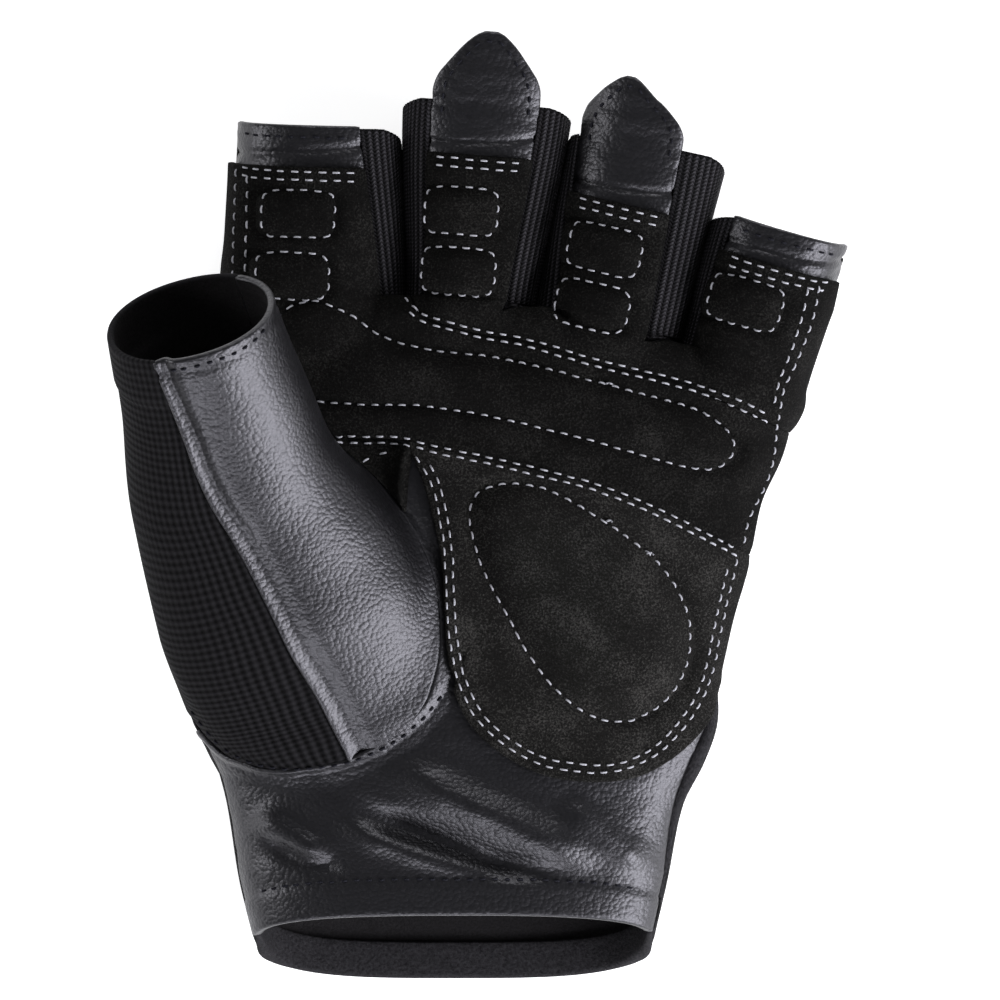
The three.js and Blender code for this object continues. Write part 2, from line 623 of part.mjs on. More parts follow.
// A layer over the palm side's lattice, from some way along the palm to the ends of the suede
function frontLayer(make, from) {
  const rows = FRONT_ROWS.filter((v) => v > from - 0.06);
  return toSolid(shell(handLattice("front", rows, suedeEnd, make))).subtract(thumbCut);
}

// A domed pad over an outline seen from the palm side, cut from a layer on the suede
const PAD_SEAT = SUEDE_SEAT + SUEDE + SEAM_GAP;
function pad(outline) {
  const make = (place) => {
    const top = place.point.clone().addScaledVector(place.normal, PAD_SEAT);
    const inward = clamp(distanceInside(outline, new THREE.Vector2(top.x, top.y)) / PAD_SLOPE, 0, 1);
    return knot(place, PAD_SEAT, PAD_SEAT + PAD_EDGE + PAD_RISE * (1 - (1 - inward) ** 2));
  };
  return largestPiece(frontLayer(make, HEEL_LOWEST).intersect(prism(outline)));
}
function distanceInside(outline, p) {
  const away = outline.map((a, i) => {
    const line = outline[(i + 1) % outline.length].clone().sub(a);
    const along = clamp(p.clone().sub(a).dot(line) / line.lengthSq(), 0, 1);
    return p.distanceTo(a.clone().addScaledVector(line, along));
  });
  const crossings = outline.filter((a, i) => {
    const b = outline[(i + 1) % outline.length];
    return a.y > p.y !== b.y > p.y && p.x < a.x + ((b.x - a.x) * (p.y - a.y)) / (b.y - a.y);
  });
  return crossings.length % 2 ? Math.min(...away) : -Math.min(...away);
}
// A rounded rectangle on a finger
const PAD_POINTS = 14;
const PAD_SQUARENESS = 4.5;
function fingerPadOutline({ finger: name, across, along }) {
  const finger = fingerNamed(name);
  const centre = finger.root.clone()
    .addScaledVector(finger.axis, along * finger.length)
    .addScaledVector(finger.side, across * fingerHalf(finger, along).half);
  return Array.from({ length: PAD_POINTS }, (_, i) => {
    const { side, up } = onSection((360 * i) / PAD_POINTS, PAD_WIDTH / 2, PAD_LENGTH / 2, PAD_SQUARENESS);
    const p = centre.clone().addScaledVector(finger.side, side).addScaledVector(finger.axis, up);
    return new THREE.Vector2(p.x, p.y);
  });
}

// The leather beyond the suede on a finger, which the middle and ring fingers have as a pull tab
function fingerTip(finger) {
  const tabShare = finger.tab / finger.length;
  const from = finger.suedeEnd + SEAM_GAP / finger.length;
  const stops = finger.tab ? [from, 0.86, 1, ...TAB_STOPS.map((s) => 1 + s * tabShare)] : [from, 0.9, 1];
  const rows = stops.map((t) => {
    const beyond = Math.max(t - 1, 0) / (tabShare || 1);
    const narrow = 1 - (1 - TAB_TIP) * beyond ** TAB_ROUND;
    return Array.from({ length: finger.frontCells + 1 }, (_, c) => {
      const share = 0.5 + (c / finger.frontCells - 0.5) * narrow;
      const place = onForm(fingerPoint(finger, stripAngle(finger, "front", share, t), t));
      return knot(place, 0, finger.tab ? TAB_WALL : LEATHER);
    });
  });
  return shell(lattice(rows));
}
const TAB_STOPS = [0.25, 0.5, 0.75, 0.92, 1];
const TAB_ROUND = 2.4;
const TAB_WALL = LEATHER * 1.5;

// The knit between two fingers: down one finger's side, round the crotch and up the next
function gusset(left, right) {
  const wing = (finger, onRight, t) => {
    const gap = radToDeg(SEAM_GAP / fingerHalf(finger, t).half);
    const start = SEAM_GAP / finger.length;
    return Array.from({ length: GUSSET_CELLS + 1 }, (_, c) => {
      const along = (angle) => lerp(start, mouthEnd(finger, angle), t);
      const back = onRight ? finger.rightBack - gap : finger.leftBack - 360 + gap;
      const edge = stripAngle(finger, "front", onRight ? 1 : 0, along(0)) + (onRight ? gap : -gap);
      const angle = lerp(edge, back, c / GUSSET_CELLS);
      return onForm(fingerPoint(finger, angle, along(angle)));
    });
  };
  const stops = Array.from({ length: FINGER_ROWS + 1 }, (_, r) => r / FINGER_ROWS);
  const down = [...stops].reverse().map((t) => wing(left, true, t));
  const up = stops.map((t) => wing(right, false, t));
  const web = down.at(-1).map(({ point }, c) => onForm(point.clone().lerp(up[0][c].point, 0.5)));
  return shell(lattice([...down, web, ...up].map((row) => row.map((place) => knot(place, 0, KNIT)))));
}

// The knit back of the hand, from side seam to side seam, with the backs of the fingers
const BACK_SHARES = shares(BACK_ROWS, 0, 1);
function backKnit() {
  const quads = handLattice("back", BACK_SHARES, mouthEnd, (place) => knot(place, 0, KNIT));
  return largestPiece(toSolid(shell(quads)).subtract(thumbCut));
}

// The thumb's leather and knit, cut where they meet the palm
function thumbPanel(fromAngle, toAngle, wall) {
  const rows = Array.from({ length: THUMB_ROWS + 1 }, (_, r) => {
    const t = r / THUMB_ROWS;
    return Array.from({ length: THUMB_CELLS + 1 }, (__, c) =>
      knot(thumbPlace(lerp(fromAngle(t), toAngle(t), c / THUMB_CELLS), t), 0, wall));
  });
  return largestPiece(toSolid(shell(lattice(rows))).subtract(palmCut));
}
const thumbSeam = (t) => thumbAt(t).seam;
const thumbGap = (t) => radToDeg(SEAM_GAP / thumbAt(t).half);

// A binding folded round a hem: a channel over both faces of the wall
function hemBinding(side, wall) {
  const [near, far] = [-SEAM_GAP, wall + SEAM_GAP];
  const [bottom, fold] = [-SEAM_GAP - BINDING, -SEAM_GAP];
  const profile = [
    [HEM_HEIGHT, far + BINDING], [bottom, far + BINDING], [bottom, near - BINDING],
    [HEM_HEIGHT, near - BINDING], [HEM_HEIGHT, near], [fold, near], [fold, far], [HEM_HEIGHT, far],
  ];
  return solidSweep(columns(side).map((each) => profile.map(([above, level]) => {
    const y = hemHeight(columnAngle(each, side, 0)) + above;
    const { point, normal } = onForm(palmPoint(columnAngle(each, side, y), y));
    return point.addScaledVector(normal, level);
  })));
}
// A closed solid through rings of points, each ring a simple outline
function solidSweep(rings) {
  const count = rings[0].length;
  const origin = rings[0][0];
  const u = rings[0][1].clone().sub(origin).normalize();
  const normal = u.clone().cross(rings[0][2].clone().sub(origin)).normalize();
  const v = normal.clone().cross(u);
  const flat = rings[0].map((p) => p.clone().sub(origin)).map((p) => new THREE.Vector2(p.dot(u), p.dot(v)));
  const caps = THREE.ShapeUtils.triangulateShape(flat, []);
  const last = (rings.length - 1) * count;
  const index = [...between(rings.length, count)];
  for (const [a, b, c] of caps) index.push(c, b, a, a + last, b + last, c + last);
  return solidOf(rings.flat(), index);
}

// The rolled binding that fills the slit
const VENT_STEPS = 14;
const ROLL_POINTS = 8;
const ROLL_HEIGHT = 2.4;
function ventBinding() {
  const from = hemHeight(SIDE_SEAM) + HEM_HEIGHT + SEAM_GAP;
  const lastColumn = columns("front").at(-1);
  const rings = Array.from({ length: VENT_STEPS + 1 }, (_, i) => {
    const y = lerp(from, VENT_END * 0.97, i / VENT_STEPS);
    const edges = [columnAngle(lastColumn, "front", y), SIDE_SEAM].map((a) => onForm(palmPoint(a, y)));
    const across = edges[0].point.clone().sub(edges[1].point);
    const half = Math.max(across.length() / 2 - SEAM_GAP, 0.3);
    const normal = edges[0].normal.clone().add(edges[1].normal).normalize();
    const middle = edges[0].point.clone().lerp(edges[1].point, 0.5).addScaledVector(normal, KNIT * 0.7);
    return Array.from({ length: ROLL_POINTS }, (__, c) => {
      const turn = (2 * Math.PI * c) / ROLL_POINTS;
      return middle.clone()
        .addScaledVector(across.clone().normalize(), Math.cos(turn) * half)
        .addScaledVector(normal, (Math.sin(turn) * Math.min(ROLL_HEIGHT, half * 1.6)) / 2);
    });
  });
  return loft(rings);
}

// The closing strap across the back of the wrist, with a round end
const STRAP_ROWS = [-1, -0.5, 0, 0.5, 1];
const STRAP_ANGLES = { root: 108, round: 185, tip: 235 };
function closureStrap() {
  const { root, round, tip } = STRAP_ANGLES;
  const across = columns("back").filter(({ angle }) => angle > root && angle < tip);
  const level = KNIT + SEAM_GAP;
  return shell(lattice(across.map((each) => STRAP_ROWS.map((row) => {
    const share = clamp((each.angle - round) / (tip - round), 0, 1);
    const y = STRAP_ALONG + (row * Math.sqrt(1 - 0.7 * share ** 2) * STRAP_WIDTH) / 2;
    return knot(onForm(palmPoint(each.angle, y)), level, level + STRAP);
  }))));
}

add("palm_leather", "leather", palmLeather());
const suede = suedePanels();
add("finger_suede", "suede", largestPiece(suede.upper));
add("bar_suede", "suede", largestPiece(suede.bar));
add("heel_suede", "suede", largestPiece(suede.heel));
add("heel_pad", "suede", pad(curveThrough(HEEL_PAD, 28, true)));
add("bar_pad", "suede", pad(curveThrough(BAR_PAD, 30, true)));
for (const spot of FINGER_PADS) add(spot.name, "suede", pad(fingerPadOutline(spot)));
for (const finger of FINGERS) {
  add(finger.name + (finger.tab ? "_pull_tab" : "_tip"), "leather", fingerTip(finger));
}
for (let i = 0; i + 1 < FINGERS.length; i++) {
  add(`${FINGERS[i].name}_${FINGERS[i + 1].name}_gusset`, "knit", gusset(FINGERS[i], FINGERS[i + 1]));
}
add("back_knit", "knit", backKnit());
const leatherStart = (t) => thumbSeam(t) + thumbGap(t);
const knitStart = (t) => THUMB_BACK_SEAM + thumbGap(t);
add("thumb_leather", "leather", thumbPanel(leatherStart, () => THUMB_BACK_SEAM, LEATHER));
add("thumb_knit", "knit", thumbPanel(knitStart, (t) => 360 + thumbSeam(t), KNIT));
add("palm_hem", "binding", hemBinding("front", LEATHER));
add("back_hem", "binding", hemBinding("back", KNIT));
add("vent_binding", "binding", ventBinding());
add("closure_strap", "binding", closureStrap());

// The origin is under the middle of the glove, on the surface that it lies on
const box = new THREE.Box3().setFromObject(glove);
const middle = box.getCenter(new THREE.Vector3());
glove.position.set(-middle.x, -middle.y, -box.min.z);

export default glove;
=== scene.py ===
# The looks of a fingerless weightlifting glove that lies on its back with the palm up.
# Every piece is cloth laid on one hand form, the same form as the CAD model's. Lengths in the
# tables are millimetres, measured before the CAD group's shift to its origin.
import bpy
import math
import numpy as np
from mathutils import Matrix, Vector
from mathutils.bvhtree import BVHTree


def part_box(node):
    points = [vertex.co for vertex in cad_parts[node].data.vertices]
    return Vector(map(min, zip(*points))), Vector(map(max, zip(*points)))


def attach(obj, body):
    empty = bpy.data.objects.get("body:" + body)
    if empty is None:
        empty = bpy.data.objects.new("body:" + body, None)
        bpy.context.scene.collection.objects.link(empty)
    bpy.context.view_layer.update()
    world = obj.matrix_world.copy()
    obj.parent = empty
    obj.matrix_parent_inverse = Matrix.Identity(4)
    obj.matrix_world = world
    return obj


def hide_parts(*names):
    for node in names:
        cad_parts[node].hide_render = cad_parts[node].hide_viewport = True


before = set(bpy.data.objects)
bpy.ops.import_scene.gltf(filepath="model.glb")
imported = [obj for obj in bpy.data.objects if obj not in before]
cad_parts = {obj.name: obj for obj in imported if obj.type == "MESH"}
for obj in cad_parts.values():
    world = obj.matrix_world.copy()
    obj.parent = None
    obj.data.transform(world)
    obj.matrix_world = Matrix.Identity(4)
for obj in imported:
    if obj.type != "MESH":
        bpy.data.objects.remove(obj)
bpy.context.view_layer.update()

# The hand form, as in the CAD source
PALM_LENGTH = 115
PALM_WIDTH = 106
CUFF_WIDTH = 74
WRIST_LIFT = 2.4
CUFF_DEPTH = 31
KNUCKLE_DEPTH = 26
KNUCKLE_DROP = 16.5
HEM_SIDE = 1.6
HEM_TILT = 7.0
HEM_SAG = 1.1
PALM_FULLNESS = 2.5
BACK_FULLNESS = 3.4
FINGER_FULLNESS = 2.4
FINGER_DEPTH = 22
FINGER_RISE = 4
FINGER_ROOT_DEPTH = 12
ROOT_SINK = 6 # how far a finger's form has shrunk at its end inside the palm
MOUTH_RAKE = 9
WEB_RADIUS = 2.5
THUMB_REACH = 68
THUMB_SPREAD = 24
THUMB_RISE = 36
THUMB_MOUTH_WIDTH = 27
THUMB_MOUTH_DEPTH = 25
THUMB_ROOT_WIDTH = 49
THUMB_ROOT_DEPTH = 33
THUMB_ROOT_HEIGHT = 20
THUMB_FULLNESS = 2.1
THUMB_BLEND = 6 # how softly the thumb joins the palm
SEAM_GAP = 0.35
SIDE_SEAM = 80
HEM_HEIGHT = 5.5
PULL_START = 0.7

# Levels of the layers above the form
LEATHER = 1.3
SUEDE_SEAT = 1.5
SUEDE_TOP = 2.7
KNIT = 1.2



def table(names, rows):
    """Rows of values under named columns."""
    return [dict(zip(names.split(), row)) for row in rows]


PALM_SECTIONS = table("along shift spread", [
    (-0.1, -0.079, -0.24), (0.0, -0.079, -0.12), (0.1, -0.08, 0.05), (0.22, -0.077, 0.21),
    (0.29, -0.068, 0.4), (0.35, -0.066, 0.53), (0.44, -0.068, 0.55), (0.6, -0.038, 0.65),
    (0.7, -0.025, 0.71), (0.78, -0.001, 0.8), (0.87, 0.014, 0.87), (1.0, 0.045, 1.0),
    (1.15, 0.055, 1.04),
])
VENT_SECTIONS = table("along draw", [
    (-0.1, 5), (0.08, 5.5), (0.17, 7), (0.23, 10), (0.29, 13.5), (0.35, 9.5), (0.39, 5), (0.415, 0),
])
VENT_END = VENT_SECTIONS[-1]["along"] * PALM_LENGTH
FINGER_SIZES = table("name length lean across root_width mouth_width suede_end front back tab", [
    ("index", 34, 1.5, -0.319, 0.278, 0.256, 0.785, 4, 6, 0),
    ("middle", 38.8, 4.6, -0.053, 0.188, 0.258, 0.75, 4, 3, 12.5),
    ("ring", 36.3, 13, 0.18, 0.222, 0.235, 0.67, 4, 3, 10.5),
    ("little", 28.5, 16.2, 0.411, 0.186, 0.209, 0.777, 4, 6, 0),
])
FINGER_SEAMS = table("left_front right_front right_root left_root right_back left_back", [
    (-80, 27, 46, -80, 140, 280),
    (-36, 37, 26, -38, 140, 220),
    (-65, 21, 27, -34, 140, 220),
    (-44, 80, 80, -50, 80, 220),
])
FINGERS = [{**sizes, **seams} for sizes, seams in zip(FINGER_SIZES, FINGER_SEAMS)]
THUMB_SECTIONS = table("along reach spread rise wide deep seam", [
    (0.0, -0.04, -0.04, -0.06, 0.88, 0.5, -2),
    (0.15, 0.09, 0.1, 0.04, 0.98, 0.7, -4),
    (0.33, 0.26, 0.31, 0.19, 0.94, 0.85, -7),
    (0.62, 0.57, 0.7, 0.49, 0.45, 0.5, -10),
    (0.82, 0.8, 0.86, 0.755, 0.16, 0.2, -20),
    (1.0, 1.0, 1.0, 1.0, 0.0, 0.0, -30),
])
THUMB_ROOT_ACROSS = -0.283
THUMB_ROOT_ALONG = 0.383
THUMB_BACK_SEAM = 140

# Seams and outlines on the palm, as shares across the palm's half width and along its length
KNUCKLE_SEAM = [
    (-0.46, 1.03), (-0.36, 0.988), (-0.25, 0.973), (-0.15, 0.961), (0.03, 0.946), (0.29, 0.914),
    (0.59, 0.884), (0.79, 0.857), (0.94, 0.829), (1.1, 0.79),
]
BAR_SEAM = [
    (-1.1, 0.8), (-0.563, 0.795), (-0.365, 0.793), (-0.216, 0.778), (-0.027, 0.762),
    (0.167, 0.744), (0.327, 0.728), (0.493, 0.707), (0.657, 0.681), (0.822, 0.649), (1.1, 0.595),
]
HEEL_OUTLINE = [
    (-0.33, 0.79), (-0.24, 0.73), (-0.18, 0.67), (-0.14, 0.6), (-0.11, 0.54), (-0.07, 0.475),
    (-0.02, 0.41), (0.04, 0.353), (0.15, 0.312), (0.33, 0.277), (0.52, 0.264), (0.72, 0.27),
    (0.84, 0.298), (0.93, 0.345), (1.0, 0.39), (1.1, 0.45),
]
HEEL_PAD = [
    (-0.05, 0.68), (-0.03, 0.712), (0.07, 0.725), (0.2, 0.718), (0.36, 0.689), (0.52, 0.65),
    (0.67, 0.606), (0.78, 0.56), (0.86, 0.51), (0.89, 0.457), (0.86, 0.412), (0.77, 0.375),
    (0.64, 0.354), (0.53, 0.36), (0.4, 0.395), (0.28, 0.45), (0.15, 0.52), (0.04, 0.58),
    (-0.03, 0.64),
]
BAR_PAD = [
    (-0.82, 0.996), (-0.72, 1.011), (-0.6, 0.99), (-0.48, 0.957), (-0.33, 0.937), (-0.08, 0.923),
    (0.2, 0.896), (0.45, 0.868), (0.7, 0.838), (0.8, 0.812), (0.85, 0.78), (0.82, 0.753),
    (0.73, 0.75), (0.59, 0.763), (0.32, 0.793), (0.0, 0.826), (-0.3, 0.847), (-0.55, 0.85),
    (-0.75, 0.865), (-0.88, 0.93),
]
FINGER_PAD_LENGTH = 8.5
FINGER_PAD_WIDTH = 13
FINGER_PAD_SQUARENESS = 5.0
FINGER_PADS = table("finger name across along", [
    (0, "index_pad_upper", -0.21, 0.5),
    (0, "index_pad_lower", -0.26, 0.17),
    (1, "middle_pad_upper", -0.24, 0.46),
    (1, "middle_pad_lower", -0.24, 0.18),
    (2, "ring_pad_upper", -0.3, 0.4),
    (2, "ring_pad_lower", -0.3, 0.11),
    (3, "little_pad", -0.3, 0.45),
])

# Folds of the cuff's leather: ends in millimetres on the palm side, width and height
CUFF_FOLDS = table("start end width height", [
    ((-29, 25.9), (13, 9.8), 2.6, -3.0),
    ((-22, 33.3), (20, 13.8), 3.4, 2.4),
    ((-31, 23.0), (4, 11.5), 2.4, 1.7),
    ((-44, 24.7), (-30, 15.0), 2.4, 1.7),
    ((-43, 19.5), (-27, 12.6), 1.7, -1.3),
    ((10, 27.0), (27, 13.0), 3.0, 1.5),
])

PROBE = 0.05 # the step over which a form's slope is taken
SETTLE_STEPS = 5 # moves that bring a point on to the form


# Numbers
def lerp(a, b, t):
    return a + (b - a) * t


def smoothstep(x, low, high):
    t = np.clip((x - low) / (high - low), 0, 1)
    return t * t * (3 - 2 * t)


def signed_power(value, power):
    return np.sign(value) * np.abs(value) ** power


def unit(v):
    return v / np.maximum(np.linalg.norm(v, axis=-1, keepdims=True), 1e-9)


def smooth_max(a, b, radius):
    mix = np.maximum(radius - np.abs(a - b), 0) / radius
    return np.maximum(a, b) + mix * mix * radius / 4


def smooth_min(a, b, radius):
    return -smooth_max(-a, -b, radius)


def lengths(line):
    """The way along a line of points at each of them."""
    return np.concatenate([[0], np.cumsum(np.linalg.norm(np.diff(line, axis=0), axis=1))])


def column(rows, key, along):
    """A column of a table at places along it, on a smooth curve through its rows."""
    a = np.array([row["along"] for row in rows], float)
    v = np.array([row[key] for row in rows], float)
    inner = (v[2:] - v[:-2]) / (a[2:] - a[:-2])
    first, last = (v[1] - v[0]) / (a[1] - a[0]), (v[-1] - v[-2]) / (a[-1] - a[-2])
    slopes = np.concatenate([[first], inner, [last]])
    along = np.asarray(along, float)
    i = np.clip(np.searchsorted(a, along), 1, len(a) - 1)
    step = a[i] - a[i - 1]
    t = (along - a[i - 1]) / step
    s = np.clip(t, 0, 1)
    rest = 1 - s
    value = (1 + 2 * s) * rest * rest * v[i - 1] + s * rest * rest * step * slopes[i - 1]
    value = value + s * s * (3 - 2 * s) * v[i] - s * s * rest * step * slopes[i]
    past = np.where(t > 1, slopes[i] * step * (t - 1), 0)
    return value + np.where(t < 0, slopes[i - 1] * step * t, past)


# The form
def palm_at(y):
    """The palm's section at a height: its middle across and up, and its half width and depth."""
    along = np.asarray(y, float) / PALM_LENGTH
    depth = lerp(CUFF_DEPTH, KNUCKLE_DEPTH, np.clip(along, 0, 1))
    lift = WRIST_LIFT * smoothstep(-along, -0.5, -0.32)
    width = lerp(CUFF_WIDTH, PALM_WIDTH, column(PALM_SECTIONS, "spread", along))
    x = column(PALM_SECTIONS, "shift", along) * PALM_WIDTH
    return x, (depth + lift) / 2, width / 2, (depth - lift) / 2


def on_section(angle, half, depth, fullness):
    a = np.radians(angle)
    return half * signed_power(np.sin(a), 2 / fullness), depth * signed_power(np.cos(a), 2 / fullness)


def palm_point(angle, y):
    x, z, half, depth = palm_at(y)
    fullness = np.where(np.cos(np.radians(angle)) < 0, BACK_FULLNESS, PALM_FULLNESS)
    side, up = on_section(angle, half, depth, fullness)
    return np.stack(np.broadcast_arrays(x + side, y, z + up), -1)


def knuckle_line(x):
    across = np.clip((x / PALM_WIDTH + 0.16) / 0.67, 0, 1.1)
    return PALM_LENGTH - KNUCKLE_DROP * across ** 2


for finger in FINGERS:
    lean = math.radians(finger["lean"])
    rise = math.atan(FINGER_RISE / finger["length"])
    x = finger["across"] * PALM_WIDTH
    level = math.cos(rise)
    finger["root"] = np.array([x, float(knuckle_line(x)), KNUCKLE_DEPTH / 2])
    finger["axis"] = np.array([math.sin(lean) * level, math.cos(lean) * level, math.sin(rise)])
    finger["side"] = np.array([math.cos(lean), -math.sin(lean), 0.0])
    finger["up"] = np.cross(finger["side"], finger["axis"])


def finger_half(finger, t):
    share = lerp(finger["root_width"], finger["mouth_width"], smoothstep(t, 0, 1))
    return share * PALM_WIDTH / 2, lerp(KNUCKLE_DEPTH, FINGER_DEPTH, np.clip(t, 0, 1)) / 2


def finger_point(finger, angle, t):
    half, depth = finger_half(finger, t)
    side, up = on_section(angle, half, depth, FINGER_FULLNESS)
    t, side, up = (np.asarray(v, float)[..., None] for v in (t * finger["length"], side, up))
    return finger["root"] + finger["axis"] * t + finger["side"] * side + finger["up"] * up


def section_distance(side, up, half, depth, fullness):
    norm = (np.abs(side / half) ** fullness + np.abs(up / depth) ** fullness) ** (1 / fullness)
    return (norm - 1) * np.minimum(half, depth)


def palm_distance(p):
    x, z, half, depth = palm_at(p[:, 1])
    up = p[:, 2] - z
    fullness = np.where(up < 0, BACK_FULLNESS, PALM_FULLNESS)
    body = section_distance(p[:, 0] - x, up, half, depth, fullness)
    return smooth_max(body, p[:, 1] - knuckle_line(p[:, 0]), WEB_RADIUS)


def finger_distance(finger, p):
    away = p - finger["root"]
    along = away @ finger["axis"]
    half, depth = finger_half(finger, along / finger["length"])
    body = section_distance(away @ finger["side"], away @ finger["up"], half, depth, FINGER_FULLNESS)
    sunk = ROOT_SINK * np.clip(-along / FINGER_ROOT_DEPTH, 0, 1) ** 2
    return np.maximum(body + sunk, -along - FINGER_ROOT_DEPTH)


def hand_distance(p):
    d = palm_distance(p)
    near = p[:, 1] > PALM_LENGTH * 0.68
    part = d[near]
    for finger in FINGERS:
        part = smooth_min(part, finger_distance(finger, p[near]), WEB_RADIUS)
    d[near] = part
    return np.maximum(d, -p[:, 2])


# The thumb's sections, looked up along its length
def thumb_centre(s):
    return np.stack([
        THUMB_ROOT_ACROSS * PALM_WIDTH - column(THUMB_SECTIONS, "spread", s) * THUMB_SPREAD,
        THUMB_ROOT_ALONG * PALM_LENGTH + column(THUMB_SECTIONS, "reach", s) * THUMB_REACH,
        THUMB_ROOT_HEIGHT + column(THUMB_SECTIONS, "rise", s) * THUMB_RISE,
    ], -1)


THUMB_LOW, THUMB_HIGH = -0.15, 1.25
steps = np.linspace(THUMB_LOW, THUMB_HIGH, 281)
chord = thumb_centre(steps + 0.02) - thumb_centre(steps - 0.02)
axes = unit(chord)
sides = unit(np.stack([axes[:, 1], -axes[:, 0], 0 * axes[:, 0]], -1))
THUMB_TABLE = np.concatenate([
    thumb_centre(steps), axes, sides, np.cross(sides, axes),
    lerp(THUMB_MOUTH_WIDTH, THUMB_ROOT_WIDTH, column(THUMB_SECTIONS, "wide", steps))[:, None] / 2,
    lerp(THUMB_MOUTH_DEPTH, THUMB_ROOT_DEPTH, column(THUMB_SECTIONS, "deep", steps))[:, None] / 2,
    np.linalg.norm(chord, axis=1)[:, None] / 0.04,
], 1)


def thumb_at(t):
    """The thumb's centre, axis, side, up, half width, half depth and speed at a share of its length."""
    last = len(THUMB_TABLE) - 1
    at = (np.clip(t, THUMB_LOW, THUMB_HIGH) - THUMB_LOW) / (THUMB_HIGH - THUMB_LOW) * last
    i = np.clip(at.astype(int), 0, last - 1)
    row = lerp(THUMB_TABLE[i], THUMB_TABLE[i + 1], (at - i)[..., None])
    return *(row[..., k:k + 3] for k in (0, 3, 6, 9)), row[..., 12], row[..., 13], row[..., 14]


def thumb_point(angle, t):
    centre, axis, side, up, half, depth, speed = thumb_at(t)
    across, out = on_section(angle, half, depth, THUMB_FULLNESS)
    past_root = np.minimum(t - THUMB_LOW, 0) * speed
    return centre + axis * past_root[..., None] + side * across[..., None] + up * out[..., None]


def thumb_share(p):
    first, last = thumb_centre(0.0), thumb_centre(1.0)
    line = last - first
    t = (p - first) @ line / (line @ line)
    for _ in range(4):
        centre, axis, _, _, _, _, speed = thumb_at(t)
        t = np.clip(t + np.sum((p - centre) * axis, -1) / speed, THUMB_LOW, THUMB_HIGH)
    return t


# Where the cuff's leather is sewn over the thumb's, seen from the palm side
RING_SEAM = np.array([
    (-61, 54), (-57.5, 48.0), (-55.8, 44.8), (-52, 39.9), (-48.6, 37.0), (-43, 34.8), (-37.8, 34.2),
    (-28.8, 35.1), (-21.6, 37.7), (-14.4, 42.7), (-9.9, 48.1), (-7.5, 55),
])
RING_DROP = 8 # how much nearer the cuff the seam runs on the glove's back
RING_SLANT = 0.85 # a step away from the seam as a share of the same step along the glove


def past_ring(p):
    """How far a point is past the seam round the thumb's root, on the thumb's side."""
    seam = np.interp(p[..., 0], RING_SEAM[:, 0], RING_SEAM[:, 1])
    drop = RING_DROP * (1 - smoothstep(p[..., 2], 4, 16))
    return (p[..., 1] - seam + drop) * RING_SLANT


def thumb_distance(p):
    """The distance from the thumb's form, which ends at the seam round its root."""
    centre, _, side, up, half, depth, _ = thumb_at(thumb_share(p))
    away = p - centre
    body = section_distance(np.sum(away * side, -1), np.sum(away * up, -1), half, depth, THUMB_FULLNESS)
    return smooth_max(body, -past_ring(p), THUMB_BLEND / 2)


def near_thumb(p):
    return (p[:, 0] < 30) & (p[:, 1] > 8)


def glove_distance(p):
    d = hand_distance(p)
    near = near_thumb(p)
    d[near] = smooth_min(d[near], thumb_distance(p[near]), THUMB_BLEND)
    return np.maximum(d, -p[:, 2])


def slope_of(distance, p):
    """The slope of a distance at each point."""
    slope = np.empty_like(p)
    for k in range(3):
        step = np.zeros(3)
        step[k] = PROBE
        slope[:, k] = (distance(p + step) - distance(p - step)) / (2 * PROBE)
    return slope


def on_form(p, distance=glove_distance):
    """Points moved on to the form, with the normals there."""
    shape = p.shape
    p = p.reshape(-1, 3).copy()
    for _ in range(SETTLE_STEPS):
        slope = slope_of(distance, p)
        p -= slope * (distance(p) / np.maximum(np.sum(slope * slope, 1), 1e-6))[:, None]
    return p.reshape(shape), unit(slope_of(distance, p)).reshape(shape)


# Curves and outlines seen from the palm side
def palm_places(shares):
    """Places given as shares of the palm's half width and of its length."""
    shares = np.array(shares, float)
    x, _, half, _ = palm_at(shares[:, 1] * PALM_LENGTH)
    return np.stack([x + shares[:, 0] * half, shares[:, 1] * PALM_LENGTH], 1)


def smooth_curve(points, closed=False, per=12):
    """A smooth curve through points, with some more points between each two."""
    p = np.array(points, float)
    ends = (p[-1:], p[:2]) if closed else (2 * p[:1] - p[1:2], 2 * p[-1:] - p[-2:-1])
    p = np.concatenate([ends[0], p, ends[1]])
    gaps = np.linalg.norm(np.diff(p, axis=0), axis=1)
    knots = np.concatenate([[0], np.cumsum(np.maximum(gaps, 1e-6) ** 0.5)])

    def blend(a, b, first, last, t):
        return lerp(a, b, (t - knots[first]) / (knots[last] - knots[first]))

    out = []
    for i in range(1, len(p) - 2):
        t = np.linspace(knots[i], knots[i + 1], per, endpoint=False)[:, None]
        a = [blend(p[j], p[j + 1], j, j + 1, t) for j in (i - 1, i, i + 1)]
        b = [blend(a[j], a[j + 1], i - 1 + j, i + 1 + j, t) for j in (0, 1)]
        out.append(blend(b[0], b[1], i, i + 1, t))
    out = np.concatenate(out)
    return out if closed else np.concatenate([out, p[-2:-1]])


def line_distance(line, xy, closed=False):
    """The distance of each place from a line."""
    a = np.asarray(line, float)
    b = np.roll(a, -1, 0) if closed else a[1:]
    a = a if closed else a[:-1]
    best = np.full(len(xy), 1e9)
    for p, q in zip(a, b):
        d = q - p
        t = np.clip((xy - p) @ d / max(d @ d, 1e-9), 0, 1)
        best = np.minimum(best, np.linalg.norm(xy - p - t[:, None] * d, axis=1))
    return best


